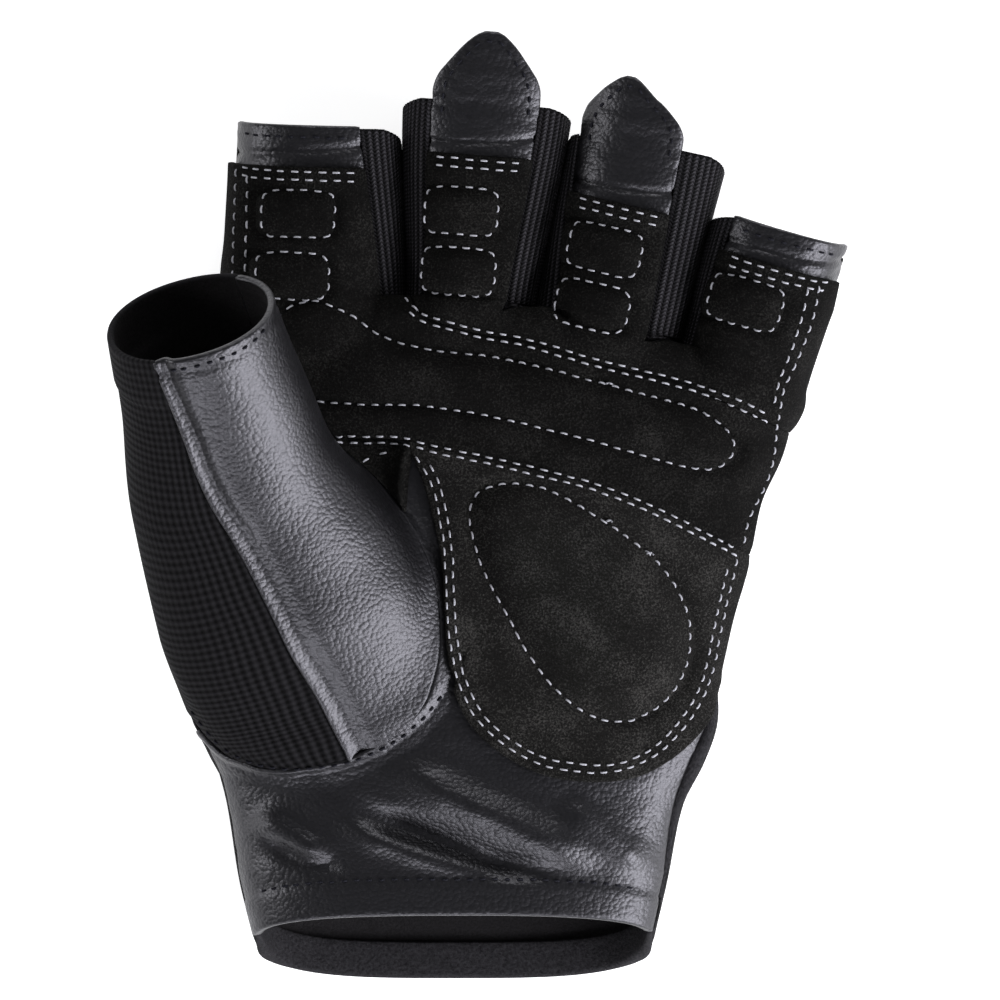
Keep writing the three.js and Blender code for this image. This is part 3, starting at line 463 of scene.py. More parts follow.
def inside_distance(outline, xy):
    """The distance inside a closed outline, which is negative outside it."""
    inside = np.zeros(len(xy), bool)
    for a, b in zip(outline, np.roll(outline, -1, 0)):
        spans = (a[1] > xy[:, 1]) != (b[1] > xy[:, 1])
        rise = b[1] - a[1] if b[1] != a[1] else 1e-9
        inside ^= spans & (xy[:, 0] < a[0] + (b[0] - a[0]) * (xy[:, 1] - a[1]) / rise)
    away = line_distance(outline, xy, closed=True)
    return np.where(inside, away, -away)


def above(line, xy):
    """The height of each place above a line that runs from left to right."""
    return xy[:, 1] - np.interp(xy[:, 0], line[:, 0], line[:, 1])


KNUCKLE_LINE = smooth_curve(palm_places(KNUCKLE_SEAM))
BAR_LINE = smooth_curve(palm_places(BAR_SEAM))
HEEL_LINE = smooth_curve(palm_places(HEEL_OUTLINE))
HEEL_PAD_LINE = smooth_curve(palm_places(HEEL_PAD), closed=True, per=6)
BAR_PAD_LINE = smooth_curve(palm_places(BAR_PAD), closed=True, per=6)


def finger_pad_line(spot):
    finger = FINGERS[spot["finger"]]
    half, _ = finger_half(finger, spot["along"])
    centre = finger["root"] + finger["axis"] * spot["along"] * finger["length"]
    centre = centre + finger["side"] * spot["across"] * half
    turn = np.linspace(0, 360, 72, endpoint=False)
    side, up = on_section(turn, FINGER_PAD_WIDTH / 2, FINGER_PAD_LENGTH / 2, FINGER_PAD_SQUARENESS)
    return centre[:2] + finger["side"][:2] * side[:, None] + finger["axis"][:2] * up[:, None]


PAD_LINES = {"heel_pad": HEEL_PAD_LINE, "bar_pad": BAR_PAD_LINE}
PAD_LINES.update({spot["name"]: finger_pad_line(spot) for spot in FINGER_PADS})


# Lattices over the form
def quads(a, b, c, d):
    """Two triangles for each four corners."""
    return np.concatenate([np.stack(corners, -1).reshape(-1, 3) for corners in ([a, b, c], [a, c, d])])


def lattice_triangles(index):
    return quads(index[:-1, :-1], index[:-1, 1:], index[1:, 1:], index[1:, :-1])


def grid_triangles(rows, cols):
    return lattice_triangles(np.arange(rows * cols).reshape(rows, cols))


def strip_angle(finger, side, share, t):
    """The angle round a finger at a share of the way across its strip of the front or the back."""
    if side == "back":
        return lerp(finger["right_back"], finger["left_back"], share) + 0 * t
    s = np.clip(t, 0, 1)
    left = lerp(finger["left_root"], finger["left_front"], s)
    return lerp(left, lerp(finger["right_root"], finger["right_front"], s), share)


def strip_point(finger, side, share, t):
    trim = SEAM_GAP / finger_half(finger, t)[0] / math.pi
    return finger_point(finger, strip_angle(finger, side, lerp(trim, 1 - trim, share), t), t)


def front_point(finger, share, t):
    """A point at a share of the way across a finger's front."""
    return finger_point(finger, strip_angle(finger, "front", share, t), t)


def mouth_end(finger, angle):
    turn = np.abs(np.where(angle > 180, 360 - angle, angle))
    return 1 - MOUTH_RAKE / finger["length"] * np.maximum(turn - 45, 0) / 135


def hem_height(angle):
    _, z, _, depth = palm_at(0.0)
    up = (palm_point(angle, np.zeros_like(angle))[..., 2] - z) / depth
    return HEM_SIDE + HEM_TILT * up - HEM_SAG * up ** 2


class Columns:
    """The columns of one side of the glove, from seam to seam, and the angle each keeps."""

    def __init__(self, side, step):
        self.side = side
        order = FINGERS if side == "front" else FINGERS[::-1]
        strips, coarse = [], []
        for finger in order:
            line = strip_point(finger, side, np.linspace(0, 1, 24), np.zeros(24))
            wide = np.linalg.norm(np.diff(line, axis=0), axis=1).sum()
            share = np.linspace(0, 1, max(finger[side], round(wide / step)) + 1)
            strips.append((finger, share, strip_point(finger, side, share, 0 * share)))
            share = np.linspace(0, 1, finger[side] + 1)
            coarse.append(on_form(strip_point(finger, side, share, 0 * share), hand_distance)[0])
        roots, places, self.spans, first, place = [], [], [], 0, 0
        for i, (finger, share, line) in enumerate(strips):
            self.spans.append((finger, first, share))
            roots.append(line)
            places.append(place + share * finger[side])
            place += finger[side]
            first += len(share)
            if i + 1 < len(strips):
                a, b = line[-1], strips[i + 1][2][0]
                count = max(1, round(np.linalg.norm(b - a) / step))
                s = np.linspace(0, 1, count + 1)[1:-1]
                roots.append(lerp(a, b, s[:, None]))
                places.append(place + s)
                place += 1
                first += len(s)
        self.root = on_form(np.concatenate(roots), hand_distance)[0]
        self.place = np.concatenate(places)
        coarse = np.concatenate(coarse)
        x, _, half, _ = palm_at(coarse[:, 1])
        fullness = PALM_FULLNESS if side == "front" else BACK_FULLNESS
        angle = np.degrees(np.arcsin(signed_power(np.clip((coarse[:, 0] - x) / half, -1, 1), fullness / 2)))
        self.coarse = angle if side == "front" else 180 - angle

    def angle_of(self, i, y):
        gap = np.degrees(SEAM_GAP / palm_at(y)[2])
        last = len(self.coarse) - 1
        angle = self.coarse[i] + 0 * y
        if self.side == "back":
            angle = np.where(i == 0, SIDE_SEAM + gap, angle)
            return np.where(i == last, 360 - SIDE_SEAM - gap, angle)
        draw = np.where(y > VENT_END, 0, np.maximum(column(VENT_SECTIONS, "draw", y / PALM_LENGTH), 0))
        angle = angle - draw * np.maximum(angle, 0) / SIDE_SEAM
        angle = np.where(i == 0, gap - SIDE_SEAM, angle)
        return np.where(i == last, SIDE_SEAM - draw - gap, angle)

    def angles(self, y):
        first = np.clip(self.place.astype(int), 0, len(self.coarse) - 2)
        i = first + 0 * y.astype(int)
        return lerp(self.angle_of(i, y), self.angle_of(i + 1, y), self.place - first)


FAR_AWAY = 20.0 # the thumb's distance where it isn't worked out


def hand_sheet(side, step, start, end):
    """A lattice over one side of the glove, from a share of the palm up to a share of each finger."""
    cols = Columns(side, step)
    root = cols.root
    count = max(4, round(PALM_LENGTH * (1 - start) / step))
    v = np.linspace(start, 1, count + 1)[:-1, None]
    zero = np.zeros((1, len(root)))
    hem = hem_height(cols.angles(zero))
    y = lerp(hem, root[None, :, 1], v)
    top = palm_point(cols.angles(root[None, :, 1]), root[None, :, 1])
    pull = (root[None] - top) * smoothstep(v, PULL_START, 1)[..., None]
    palm = palm_point(cols.angles(y), y) + pull
    palm = np.concatenate([palm, root[None]])
    rows, width = palm.shape[:2]
    points = [palm.reshape(-1, 3)]
    triangles = [grid_triangles(rows, width)]
    above_hem = [(np.concatenate([y, root[None, :, 1]]) - hem).ravel()]
    total = rows * width
    for finger, first, share in cols.spans:
        ends = end(finger, strip_angle(finger, side, share, np.ones_like(share)))
        n = max(3, round(finger["length"] * float(np.max(ends)) / step))
        t = ends * (np.arange(1, n + 1) / n)[:, None]
        strip = strip_point(finger, side, share + 0 * t, t)
        index = np.arange(total, total + n * len(share)).reshape(n, len(share))
        below = (rows - 1) * width + first + np.arange(len(share))
        triangles.append(lattice_triangles(np.concatenate([below[None], index])))
        points.append(strip.reshape(-1, 3))
        above_hem.append(np.full(n * len(share), float(PALM_LENGTH)))
        total += n * len(share)
    p, n = on_form(np.concatenate(points), hand_distance)
    field = np.full(len(p), FAR_AWAY)
    near = near_thumb(p)
    field[near] = thumb_distance(p[near])
    soft = near & (field < THUMB_BLEND * 2) & (field > -4)
    p[soft], n[soft] = on_form(p[soft])
    data = {"p": p, "n": n, "uv": p[:, :2].copy(), "thumb": field, "above_hem": np.concatenate(above_hem)}
    return data, np.concatenate(triangles)


# Cutting and closing sheets
def compact(data, triangles):
    """A sheet without the points that no triangle uses."""
    used, index = np.unique(triangles, return_inverse=True)
    return {k: v[used] for k, v in data.items()}, index.reshape(triangles.shape)


def clip(data, triangles, field):
    """The part of a sheet where a field is above zero."""
    inside = field > 0
    count = inside[triangles].sum(1)
    one = triangles[count == 1]
    two = triangles[count == 2]

    def odd_first(t, odd):
        place = np.argmax(inside[t] == odd, 1)[:, None]
        return np.take_along_axis(t, (place + [0, 1, 2]) % 3, 1)

    one, two = odd_first(one, True), odd_first(two, False)
    edges = np.concatenate([one[:, [0, 1]], one[:, [0, 2]], two[:, [0, 1]], two[:, [0, 2]]])
    if not len(edges):
        return compact(data, triangles[count == 3])
    low, high = edges.min(1), edges.max(1)
    keys, index = np.unique(low.astype(np.int64) * len(field) + high, return_inverse=True)
    low, high = keys // len(field), keys % len(field)
    s = np.clip(field[low] / (field[low] - field[high]), 0.02, 0.98)
    data = {
        k: np.concatenate([v, lerp(v[low], v[high], s.reshape((-1,) + (1,) * (v.ndim - 1)))])
        for k, v in data.items()
    }
    index = index + len(field)
    n1, n2 = len(one), len(two)
    p, q, r, s2 = index[:n1], index[n1:2 * n1], index[2 * n1:2 * n1 + n2], index[2 * n1 + n2:]
    made = np.concatenate([
        triangles[count == 3],
        np.stack([one[:, 0], p, q], 1),
        np.stack([r, two[:, 1], two[:, 2]], 1),
        np.stack([r, two[:, 2], s2], 1),
    ])
    return compact(data, made)


EDGE_RINGS = 4


def close_sheet(data, triangles, outer, inner, edge):
    """A closed body between two levels over a sheet, with rounded edges.

    Each face's kind is 0 on the outside, 1 on the edge and 2 on the inside.
    """
    p, n = data["p"], unit(data["n"])
    size = len(p)
    outer, inner = outer + np.zeros(size), inner + np.zeros(size)
    top, bottom = p + n * outer[:, None], p + n * inner[:, None]
    edges = np.concatenate([triangles[:, [0, 1]], triangles[:, [1, 2]], triangles[:, [2, 0]]])
    keys = edges.min(1).astype(np.int64) * size + edges.max(1)
    _, index, counts = np.unique(keys, return_inverse=True, return_counts=True)
    rim = edges[counts[index] == 1]
    out = np.zeros((size, 3))
    for k in (0, 1):
        np.add.at(out, rim[:, k], unit(np.cross(top[rim[:, 1]] - top[rim[:, 0]], n[rim[:, k]])))
    around = np.unique(rim)
    order = np.full(size, -1)
    order[around] = np.arange(len(around))
    out = unit(out[around])
    middle, half = (top + bottom)[around] / 2, ((outer - inner) / 2)[around]
    rings = []
    for k in range(1, EDGE_RINGS + 1):
        turn = math.pi * k / (EDGE_RINGS + 1)
        swell = signed_power(math.cos(turn), 0.8), math.sin(turn) ** 0.8
        rings.append(middle + n[around] * (half * swell[0])[:, None] + out * (edge * swell[1]))
    points = np.concatenate([top, *rings, bottom])
    last = size + EDGE_RINGS * len(around)
    a, b = rim.T
    starts = [size + k * len(around) for k in range(EDGE_RINGS)]
    levels = [(a, b), *((start + order[a], start + order[b]) for start in starts), (last + a, last + b)]
    skirt = np.concatenate([quads(q0, p0, p1, q1) for (p0, q0), (p1, q1) in zip(levels, levels[1:])])
    under = triangles[:, ::-1] + last
    faces = np.concatenate([triangles, skirt, under])
    kind = np.repeat([0, 1, 2], [len(triangles), len(skirt), len(under)])
    source = np.concatenate([np.arange(size), *[around] * EDGE_RINGS, np.arange(size)])
    return points, faces, kind, source


# Pieces
SHIFT = np.zeros(3)
SURFACES = []


def to_row(points):
    return (points + SHIFT) * 0.001


def add_mesh(name, points, faces, materials, kinds=None, uv=None):
    """A piece that rides on the glove, with smooth faces."""
    mesh = bpy.data.meshes.new(name)
    mesh.vertices.add(len(points))
    mesh.vertices.foreach_set("co", to_row(points).astype(np.float32).ravel())
    mesh.loops.add(faces.size)
    mesh.loops.foreach_set("vertex_index", faces.astype(np.int32).ravel())
    mesh.polygons.add(len(faces))
    mesh.polygons.foreach_set("loop_start", np.arange(0, faces.size, faces.shape[1], dtype=np.int32))
    mesh.polygons.foreach_set("use_smooth", np.ones(len(faces), bool))
    for made in materials:
        mesh.materials.append(made)
    if kinds is not None:
        mesh.polygons.foreach_set("material_index", kinds.astype(np.int32))
    if uv is not None:
        layer = mesh.uv_layers.new(name="UVMap")
        layer.uv.foreach_set("vector", uv[faces.ravel()].astype(np.float32).ravel())
    mesh.update(calc_edges=True)
    mesh.validate()
    made = bpy.data.objects.new(name, mesh)
    bpy.context.scene.collection.objects.link(made)
    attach(made, "root")
    return made


def add_sheet(name, data, triangles, outer, inner, edge, materials, nodes=()):
    """A sheet's body as a piece that stands for CAD nodes; its inner faces take the last material."""
    points, faces, kind, source = close_sheet(data, triangles, outer, inner, edge)
    uv = data["uv"][source] if "uv" in data else None
    piece = add_mesh(name, points, faces, materials, np.where(kind == 2, len(materials) - 1, 0), uv)
    if nodes:
        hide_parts(*nodes)
    SURFACES.append((points, faces[kind < 2]))
    return piece


def waves(p, size, seed, octaves=3):
    """Gentle unevenness from a few crossing waves, about -1 to 1."""
    rng = np.random.default_rng(seed)
    total = np.zeros(len(p))
    for k in range(octaves * 3):
        direction = unit(rng.normal(size=3))
        turn = rng.uniform(0, 2 * math.pi)
        total += np.sin(p @ direction * 2 * math.pi / (size * rng.uniform(0.7, 1.5)) + turn)
    return total / (octaves * 1.8)


def groove(distance, width):
    return np.exp(-(distance / width) ** 2)


def fold_at(p):
    total = np.zeros(len(p))
    for fold in CUFF_FOLDS:
        start, end = np.array(fold["start"], float), np.array(fold["end"], float)
        line = end - start
        away = p[:, :2] - start
        along = away @ line / (line @ line)
        off = (away[:, 0] * line[1] - away[:, 1] * line[0]) / np.linalg.norm(line) / fold["width"]
        fade = smoothstep(along, 0, 0.3) * smoothstep(1 - along, 0, 0.3)
        total += fold["height"] * fade * np.exp(-off * off)
    return total


# Materials
def new_material(name):
    made = bpy.data.materials.new(name)
    made.use_nodes = True
    nodes = made.node_tree.nodes
    return made, nodes, made.node_tree.links, nodes["Principled BSDF"]


def add_node(nodes, kind, settings=(), **inputs):
    made = nodes.new(kind)
    for key, value in dict(settings).items():
        setattr(made, key, value)
    for key, value in inputs.items():
        made.inputs[key.replace("_", " ")].default_value = value
    return made


def ramp(nodes, links, value, stops):
    made = nodes.new("ShaderNodeValToRGB")
    elements = made.color_ramp.elements
    while len(elements) < len(stops):
        elements.new(0.5)
    for element, (place, colour) in zip(elements, stops):
        element.position = place
        element.color = (*colour, 1) if len(colour) == 3 else colour
    links.new(value, made.inputs["Fac"])
    return made.outputs["Color"]


def scaled_coordinates(nodes, links, scale):
    coordinates = nodes.new("ShaderNodeTexCoord")
    mapping = add_node(nodes, "ShaderNodeMapping", Scale=scale)
    links.new(coordinates.outputs["Object"], mapping.inputs["Vector"])
    return mapping.outputs["Vector"]


def add_bump(nodes, links, height, distance, strength=1.0, below=None):
    made = add_node(nodes, "ShaderNodeBump", Distance=distance, Strength=strength)
    links.new(height, made.inputs["Height"])
    if below is not None:
        links.new(below, made.inputs["Normal"])
    return made.outputs["Normal"]


def noise(nodes, links, place, **inputs):
    made = add_node(nodes, "ShaderNodeTexNoise", **inputs)
    links.new(place, made.inputs["Vector"])
    return made.outputs["Fac"]


def sums(nodes, links):
    """A function that joins two sockets or numbers by a math node."""
    def combine(operation, a, b=0.0, c=None):
        joined = add_node(nodes, "ShaderNodeMath", {"operation": operation})
        for socket, value in zip(joined.inputs, (a, b) if c is None else (a, b, c)):
            if hasattr(value, "links"):
                links.new(value, socket)
            else:
                socket.default_value = value
        return joined.outputs["Value"]

    return combine


def with_fuzz(nodes, links, height, share):
    """A height with loose fibres over it."""
    place = scaled_coordinates(nodes, links, MILLIMETRES)
    combine = sums(nodes, links)
    fuzz = noise(nodes, links, place, Scale=4.0, Detail=3.0, Roughness=0.7)
    return combine("ADD", combine("MULTIPLY", fuzz, share), height)


def finish_cloth(nodes, links, shader, height, stops, depth, roughness, gloss):
    """A cloth's colour and bump from the height of its threads: the low parts take the darker colour, which
    on the knits is painted shade and on plain cloth random tone.
    """
    links.new(ramp(nodes, links, height, stops), shader.inputs["Base Color"])
    shader.inputs["Roughness"].default_value = roughness
    shader.inputs["Specular IOR Level"].default_value = gloss
    links.new(add_bump(nodes, links, height, depth), shader.inputs["Normal"])


def texture_lengths(nodes, links):
    """The two lengths across a piece of cloth, and both as one vector."""
    coordinates = nodes.new("ShaderNodeTexCoord")
    split = nodes.new("ShaderNodeSeparateXYZ")
    links.new(coordinates.outputs["UV"], split.inputs["Vector"])
    return split.outputs["X"], split.outputs["Y"], coordinates.outputs["UV"]


MILLIMETRES = (1000, 1000, 1000)
WARM = (1.0, 0.965, 0.91)


def suede_material(name, nap):
    """Suede, its colour scaled by a painted light factor: the heel's copy is painted lighter for the
    brighter light on the heel.
    """
    made, nodes, links, shader = new_material(name)
    place = scaled_coordinates(nodes, links, MILLIMETRES)
    fine = noise(nodes, links, place, Scale=2.6, Detail=4.0, Roughness=0.7)
    soft = noise(nodes, links, place, Scale=0.12, Detail=3.0, Roughness=0.55)
    brushed = sums(nodes, links)("MULTIPLY_ADD", soft, 0.35, fine)
    greys = ((0.45, 0.004), (0.68, 0.0075), (0.95, 0.045))
    # The scale paints light into the colour: the heel's copy is lighter than the palm's.
    stops = [(at, tuple(grey * nap * c for c in WARM)) for at, grey in greys]
    links.new(ramp(nodes, links, brushed, stops), shader.inputs["Base Color"])
    shader.inputs["Roughness"].default_value = 0.95
    shader.inputs["Specular IOR Level"].default_value = 0.05
    links.new(add_bump(nodes, links, fine, 0.0006), shader.inputs["Normal"])
    return made


def leather_material(name, grain, roughness, dark, light):
    """Pebbled leather, its grain's size in millimetres; the pebbles' tops are painted lighter as highlight
    and the valleys darker as shade.
    """
    made, nodes, links, shader = new_material(name)
    place = scaled_coordinates(nodes, links, (1000 / grain, 1200 / grain, 1100 / grain))
    warp = add_node(nodes, "ShaderNodeTexNoise", Scale=0.6, Detail=2.0)
    bend = add_node(nodes, "ShaderNodeMixRGB", {"blend_type": "ADD"}, Fac=0.3)
    cells = add_node(nodes, "ShaderNodeTexVoronoi", {"feature": "SMOOTH_F1"},
                     Scale=1.0, Randomness=1.0, Smoothness=0.25)
    links.new(place, warp.inputs["Vector"])
    links.new(place, bend.inputs["Color1"])
    links.new(warp.outputs["Color"], bend.inputs["Color2"])
    links.new(bend.outputs["Color"], cells.inputs["Vector"])
    heights = ((0.0, 1.0), (0.3, 0.85), (0.6, 0.5), (0.95, 0.0))
    pebble = ramp(nodes, links, cells.outputs["Distance"], [(at, (height,) * 3) for at, height in heights])
    lines = scaled_coordinates(nodes, links, (170, 620, 300))
    creases = noise(nodes, links, lines, Scale=1.0, Detail=4.0, Roughness=0.62, Distortion=0.4)
    fine = noise(nodes, links, place, Scale=3.0, Detail=3.0, Roughness=0.6)
    normal = add_bump(nodes, links, creases, 0.00005, 0.8)
    normal = add_bump(nodes, links, fine, 0.00003, 0.8, normal)
    links.new(add_bump(nodes, links, pebble, 0.00009, 0.9, normal), shader.inputs["Normal"])
    # Base colour from the pebble height: painted highlight on the tops, painted shade in the valleys.
    links.new(ramp(nodes, links, pebble, [(0.0, dark), (1.0, light)]), shader.inputs["Base Color"])
    shine = [(0.3, (roughness - 0.05,) * 3), (0.7, (roughness + 0.08,) * 3)]
    links.new(ramp(nodes, links, fine, shine), shader.inputs["Roughness"])
    shader.inputs["Specular IOR Level"].default_value = 0.5
    shader.inputs["Specular Tint"].default_value = (0.93, 0.92, 1.0, 1)
    return made


def knit_material(name, rib, stitch, dark, light, depth=0.00035):
    """Ribs along the second texture direction, each a chain of stitches; lengths in millimetres. The low
    parts between ribs and stitches are painted dark as shade.
    """
    made, nodes, links, shader = new_material(name)
    x, y, _ = texture_lengths(nodes, links)
    combine = sums(nodes, links)
    ribs = combine("SINE", combine("MULTIPLY", x, 2 * math.pi / rib))
    turn = combine("ADD", combine("MULTIPLY", y, 2 * math.pi / stitch), combine("MULTIPLY", ribs, 2.2))
    height = combine("ADD", combine("MULTIPLY", ribs, 0.5), combine("MULTIPLY", combine("SINE", turn), 0.3))
    height = combine("ADD", combine("MULTIPLY", height, 0.5), 0.5)
    rough = with_fuzz(nodes, links, height, 0.35)
    # Colour from the thread height: painted shade between the ribs and stitches, lighter on their tops.
    middle = lerp(np.array(dark), np.array(light), 0.32)
    stops = [(0.38, dark), (0.75, middle), (1.12, light)]
    finish_cloth(nodes, links, shader, rough, stops, depth, 0.85, 0.08)
    return made


def grid_material(name, rib, cross, dark, light, depth=0.0004):
    """Knit with ribs both ways: those across the piece fade out towards its leather seam. The gaps between
    ribs are painted dark as shade.
    """
    made, nodes, links, shader = new_material(name)
    x, y, both = texture_lengths(nodes, links)
    combine = sums(nodes, links)
    bend = combine("MULTIPLY", noise(nodes, links, both, Scale=0.06, Detail=1.0), 5.0)
    along = combine("SINE", combine("ADD", combine("MULTIPLY", x, 2 * math.pi / rib), bend))
    across = combine("SINE", combine("ADD", combine("MULTIPLY", y, 2 * math.pi / cross), bend))
    side = add_node(nodes, "ShaderNodeMapRange", {"interpolation_type": "SMOOTHSTEP"},
                    From_Min=87.0, From_Max=110.0, To_Min=0.1, To_Max=1.0)
    links.new(x, side.inputs["Value"])
    side = side.outputs["Result"]
    fade = combine("SUBTRACT", 1.05, combine("MULTIPLY", side, 0.7))
    height = combine("ADD", combine("MULTIPLY", along, side), combine("MULTIPLY", across, fade))
    height = combine("ADD", combine("MULTIPLY", height, 0.28), 0.5)
    rough = with_fuzz(nodes, links, height, 0.3)
    # Colour from the rib height: painted shade in the gaps, lighter on the ribs.
    finish_cloth(nodes, links, shader, rough, [(0.3, dark), (1.1, light)], depth, 0.8, 0.06)
    return made


def plain_cloth(name, dark, light, grain=0.5, depth=0.0002):
    made, nodes, links, shader = new_material(name)
    place = scaled_coordinates(nodes, links, (1000 / grain,) * 3)
    fine = noise(nodes, links, place, Scale=1.0, Detail=4.0, Roughness=0.75)
    finish_cloth(nodes, links, shader, fine, [(0.32, dark), (0.7, light)], depth, 0.95, 0.08)
    return made


# Two copies of one suede: the heel's is painted lighter than the palm's, as painted light for the brighter
# heel.
SUEDE = suede_material("suede", 0.7)
HEEL_SUEDE = suede_material("heel_suede", 1.45)
LEATHER_SKIN = leather_material("leather", 0.8, 0.38, (0.0015, 0.0015, 0.0018), (0.0042, 0.004, 0.0046))
LINING = plain_cloth("lining", (0.006, 0.0055, 0.006), (0.017, 0.016, 0.017), 0.45)
FINGER_RIB = 1.05
FINGER_KNIT = knit_material("finger_knit", FINGER_RIB, 0.68, (0.0006, 0.0006, 0.0008),
                            (0.042, 0.040, 0.045), 0.0007)
THUMB_KNIT = grid_material("thumb_knit", 1.38, 1.36, (0.0003, 0.0003, 0.0004),
                           (0.0125, 0.012, 0.0135), 0.0006)
BACK_KNIT = knit_material("back_knit", 1.4, 1.0, (0.001, 0.001, 0.0012), (0.014, 0.0135, 0.015))
BINDING = plain_cloth("binding", (0.006, 0.0058, 0.0065), (0.03, 0.029, 0.032), 0.55, 0.0004)
THREAD_WHITE = plain_cloth("thread_white", (0.26, 0.26, 0.29), (0.5, 0.5, 0.54), 0.25, 0.0001)
THREAD_BLACK = plain_cloth("thread_black", (0.004, 0.004, 0.006), (0.02, 0.02, 0.026), 0.25, 0.0001)

# The shift from the pattern to the row frame, read off one node
low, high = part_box("index_tip")
tip = FINGERS[0]
t = np.array([tip["suede_end"] + SEAM_GAP / tip["length"], 0.9, 1.0])[:, None]
share = np.linspace(0, 1, 5)[None] + 0 * t
place, normal = on_form(front_point(tip, share, t + 0 * share), hand_distance)
known = np.concatenate([place.reshape(-1, 3), (place + normal * LEATHER).reshape(-1, 3)])
SHIFT = (np.array(low) + np.array(high)) * 500 - (known.min(0) + known.max(0)) / 2

# The camera looks straight down, as the photograph does
CAMERA_MIDDLE = np.array([0.0, 80.5, 28.0])
CAMERA_HEIGHT = 1.0
camera = bpy.data.objects.new("camera", bpy.data.cameras.new("camera"))
camera.data.sensor_width = 36
camera.data.lens = 200
camera.data.clip_end = 20
camera.location = to_row(CAMERA_MIDDLE) + np.array([0, 0, CAMERA_HEIGHT])
bpy.context.scene.collection.objects.link(camera)
bpy.context.scene.camera = camera


# Fields that shape the suede
def suede_relief(data):
    """How far the suede stands above or below its level: sunk seams and stitch lines, soft unevenness."""
    xy = data["p"][:, :2]
    level = SUEDE_TOP + 0.16 * waves(data["p"], 14, 3)
    level -= 0.30 * groove(above(KNUCKLE_LINE, xy), 1.3)
    level -= 0.30 * groove(above(BAR_LINE, xy), 1.3)
    for line in PAD_LINES.values():
        inside = inside_distance(line, xy)
        level -= 0.45 * groove(inside, 0.9) + 1.0 * smoothstep(inside, 0.2, 1.5)
        level += 0.25 * groove(inside + 2.4, 1.6)
    return level


def cut_sheet(data, triangles, *fields):
    """The part of a sheet where all the fields are above zero."""
    data = dict(data)
    for k, field in enumerate(fields):
        data[f"field{k}"] = field
    for k in range(len(fields)):
        if len(triangles):
            data, triangles = clip(data, triangles, data[f"field{k}"])
    return data, triangles


def suede_piece(name, node, edge, material, *fields):
    data, triangles = cut_sheet(front_data, front, *fields)
    level = suede_relief(data)
    add_sheet("suede_" + name, data, triangles, level, SUEDE_SEAT, edge, [material], [node])


def suede_end(finger, angle):
    return finger["suede_end"] + 0 * angle


front_data, front = hand_sheet("front", 0.62, 0.2, suede_end)
xy = front_data["p"][:, :2]
HALF_GAP = 0.32
LITTLE_SIDE = np.array([
    (44.1, 72.4), (45, 76.9), (47.7, 82.3), (49.5, 87.7), (50.0, 93.1), (51.3, 101.2), (52.2, 103),
    (53.5, 105.7), (56.2, 112.9), (57.8, 121.4), (59.5, 130),
])
LITTLE_START = 70 # the height where the suede begins to keep off the little finger's side
margin = 1.4 + 9 * (1 - smoothstep(xy[:, 1], 88, 104))
little_clear = np.interp(xy[:, 1], LITTLE_SIDE[:, 1], LITTLE_SIDE[:, 0]) + margin - xy[:, 0]
little_clear = np.where(xy[:, 1] > LITTLE_START, little_clear, 9.0)
thumb_clear = front_data["thumb"] - 0.6
knuckle_side = above(KNUCKLE_LINE, xy)
near_seam = (xy[:, 0] >= KNUCKLE_LINE[0, 0]) & (knuckle_side > -4.9)
over_seam = np.where(near_seam, knuckle_side - HALF_GAP, -1.0)
under_seam = np.where(near_seam, -knuckle_side - HALF_GAP, 5.0)
bar_side = above(BAR_LINE, xy)
under_bar = -bar_side - HALF_GAP
heel_outline = np.concatenate([HEEL_LINE, [[HEEL_LINE[-1, 0] + 5, 200.0], [HEEL_LINE[0, 0], 200.0]]])
heel_field = inside_distance(heel_outline, xy)
suede_piece("fingers", "finger_suede", 0.3, SUEDE, over_seam, thumb_clear, little_clear)
suede_piece("bar", "bar_suede", 0.3, SUEDE, under_seam, bar_side - HALF_GAP, thumb_clear, little_clear)
suede_piece("heel", "heel_suede", 0.45, HEEL_SUEDE, heel_field, under_bar, thumb_clear)

# The pads under the suede: how far each rises, and the width of its slope
PAD_SHAPES = {"heel_pad": (2.9, 8.0), "bar_pad": (2.1, 5.0)}
for name, line in PAD_LINES.items():
    rise, slope = PAD_SHAPES.get(name, (1.6, 2.8))
    field = inside_distance(line, xy)
    pad_data, pad = cut_sheet(front_data, front, field, thumb_clear)
    inside = np.clip(inside_distance(line, pad_data["p"][:, :2]) / slope, 0, 1)
    puff = rise * (1 - (1 - inside) ** 2.2) + 0.12 * waves(pad_data["p"], 9, 5) * inside
    made = HEEL_SUEDE if name == "heel_pad" else SUEDE
    top, bottom = SUEDE_TOP - 0.45 + puff, SUEDE_TOP - 1.6
    piece = add_sheet("padding_" + name, pad_data, pad, top, bottom, 0.05, [made], [name])

# The folded patch between the thumb and the palm
WEB_OUTLINE = smooth_curve([
    (-30, 91.4), (-23, 91.6), (-16.4, 89.6), (-16.6, 85), (-18.9, 76.2), (-24, 81), (-30, 86),
], closed=True, per=4)
WEB_FOLD = smooth_curve([(-16.8, 89.4), (-18.2, 84), (-20.4, 77.6)])
web_data, web = cut_sheet(front_data, front, inside_distance(WEB_OUTLINE, xy), under_bar, thumb_clear)
fold_ridge = 1.5 * groove(line_distance(WEB_FOLD, web_data["p"][:, :2]), 1.1)
add_sheet("suede_web", web_data, web, SUEDE_SEAT + 0.35 + fold_ridge, SUEDE_SEAT, 0.3, [SUEDE])
SUEDE_SURFACES = list(SURFACES)

# The leather palm and cuff
HEM_ROW = 5.0 # height of the hem's stitches
TUCK = 0.06 # how far leather runs under the suede, as a share of a finger


def leather_end(finger, angle):
    return suede_end(finger, angle) - TUCK


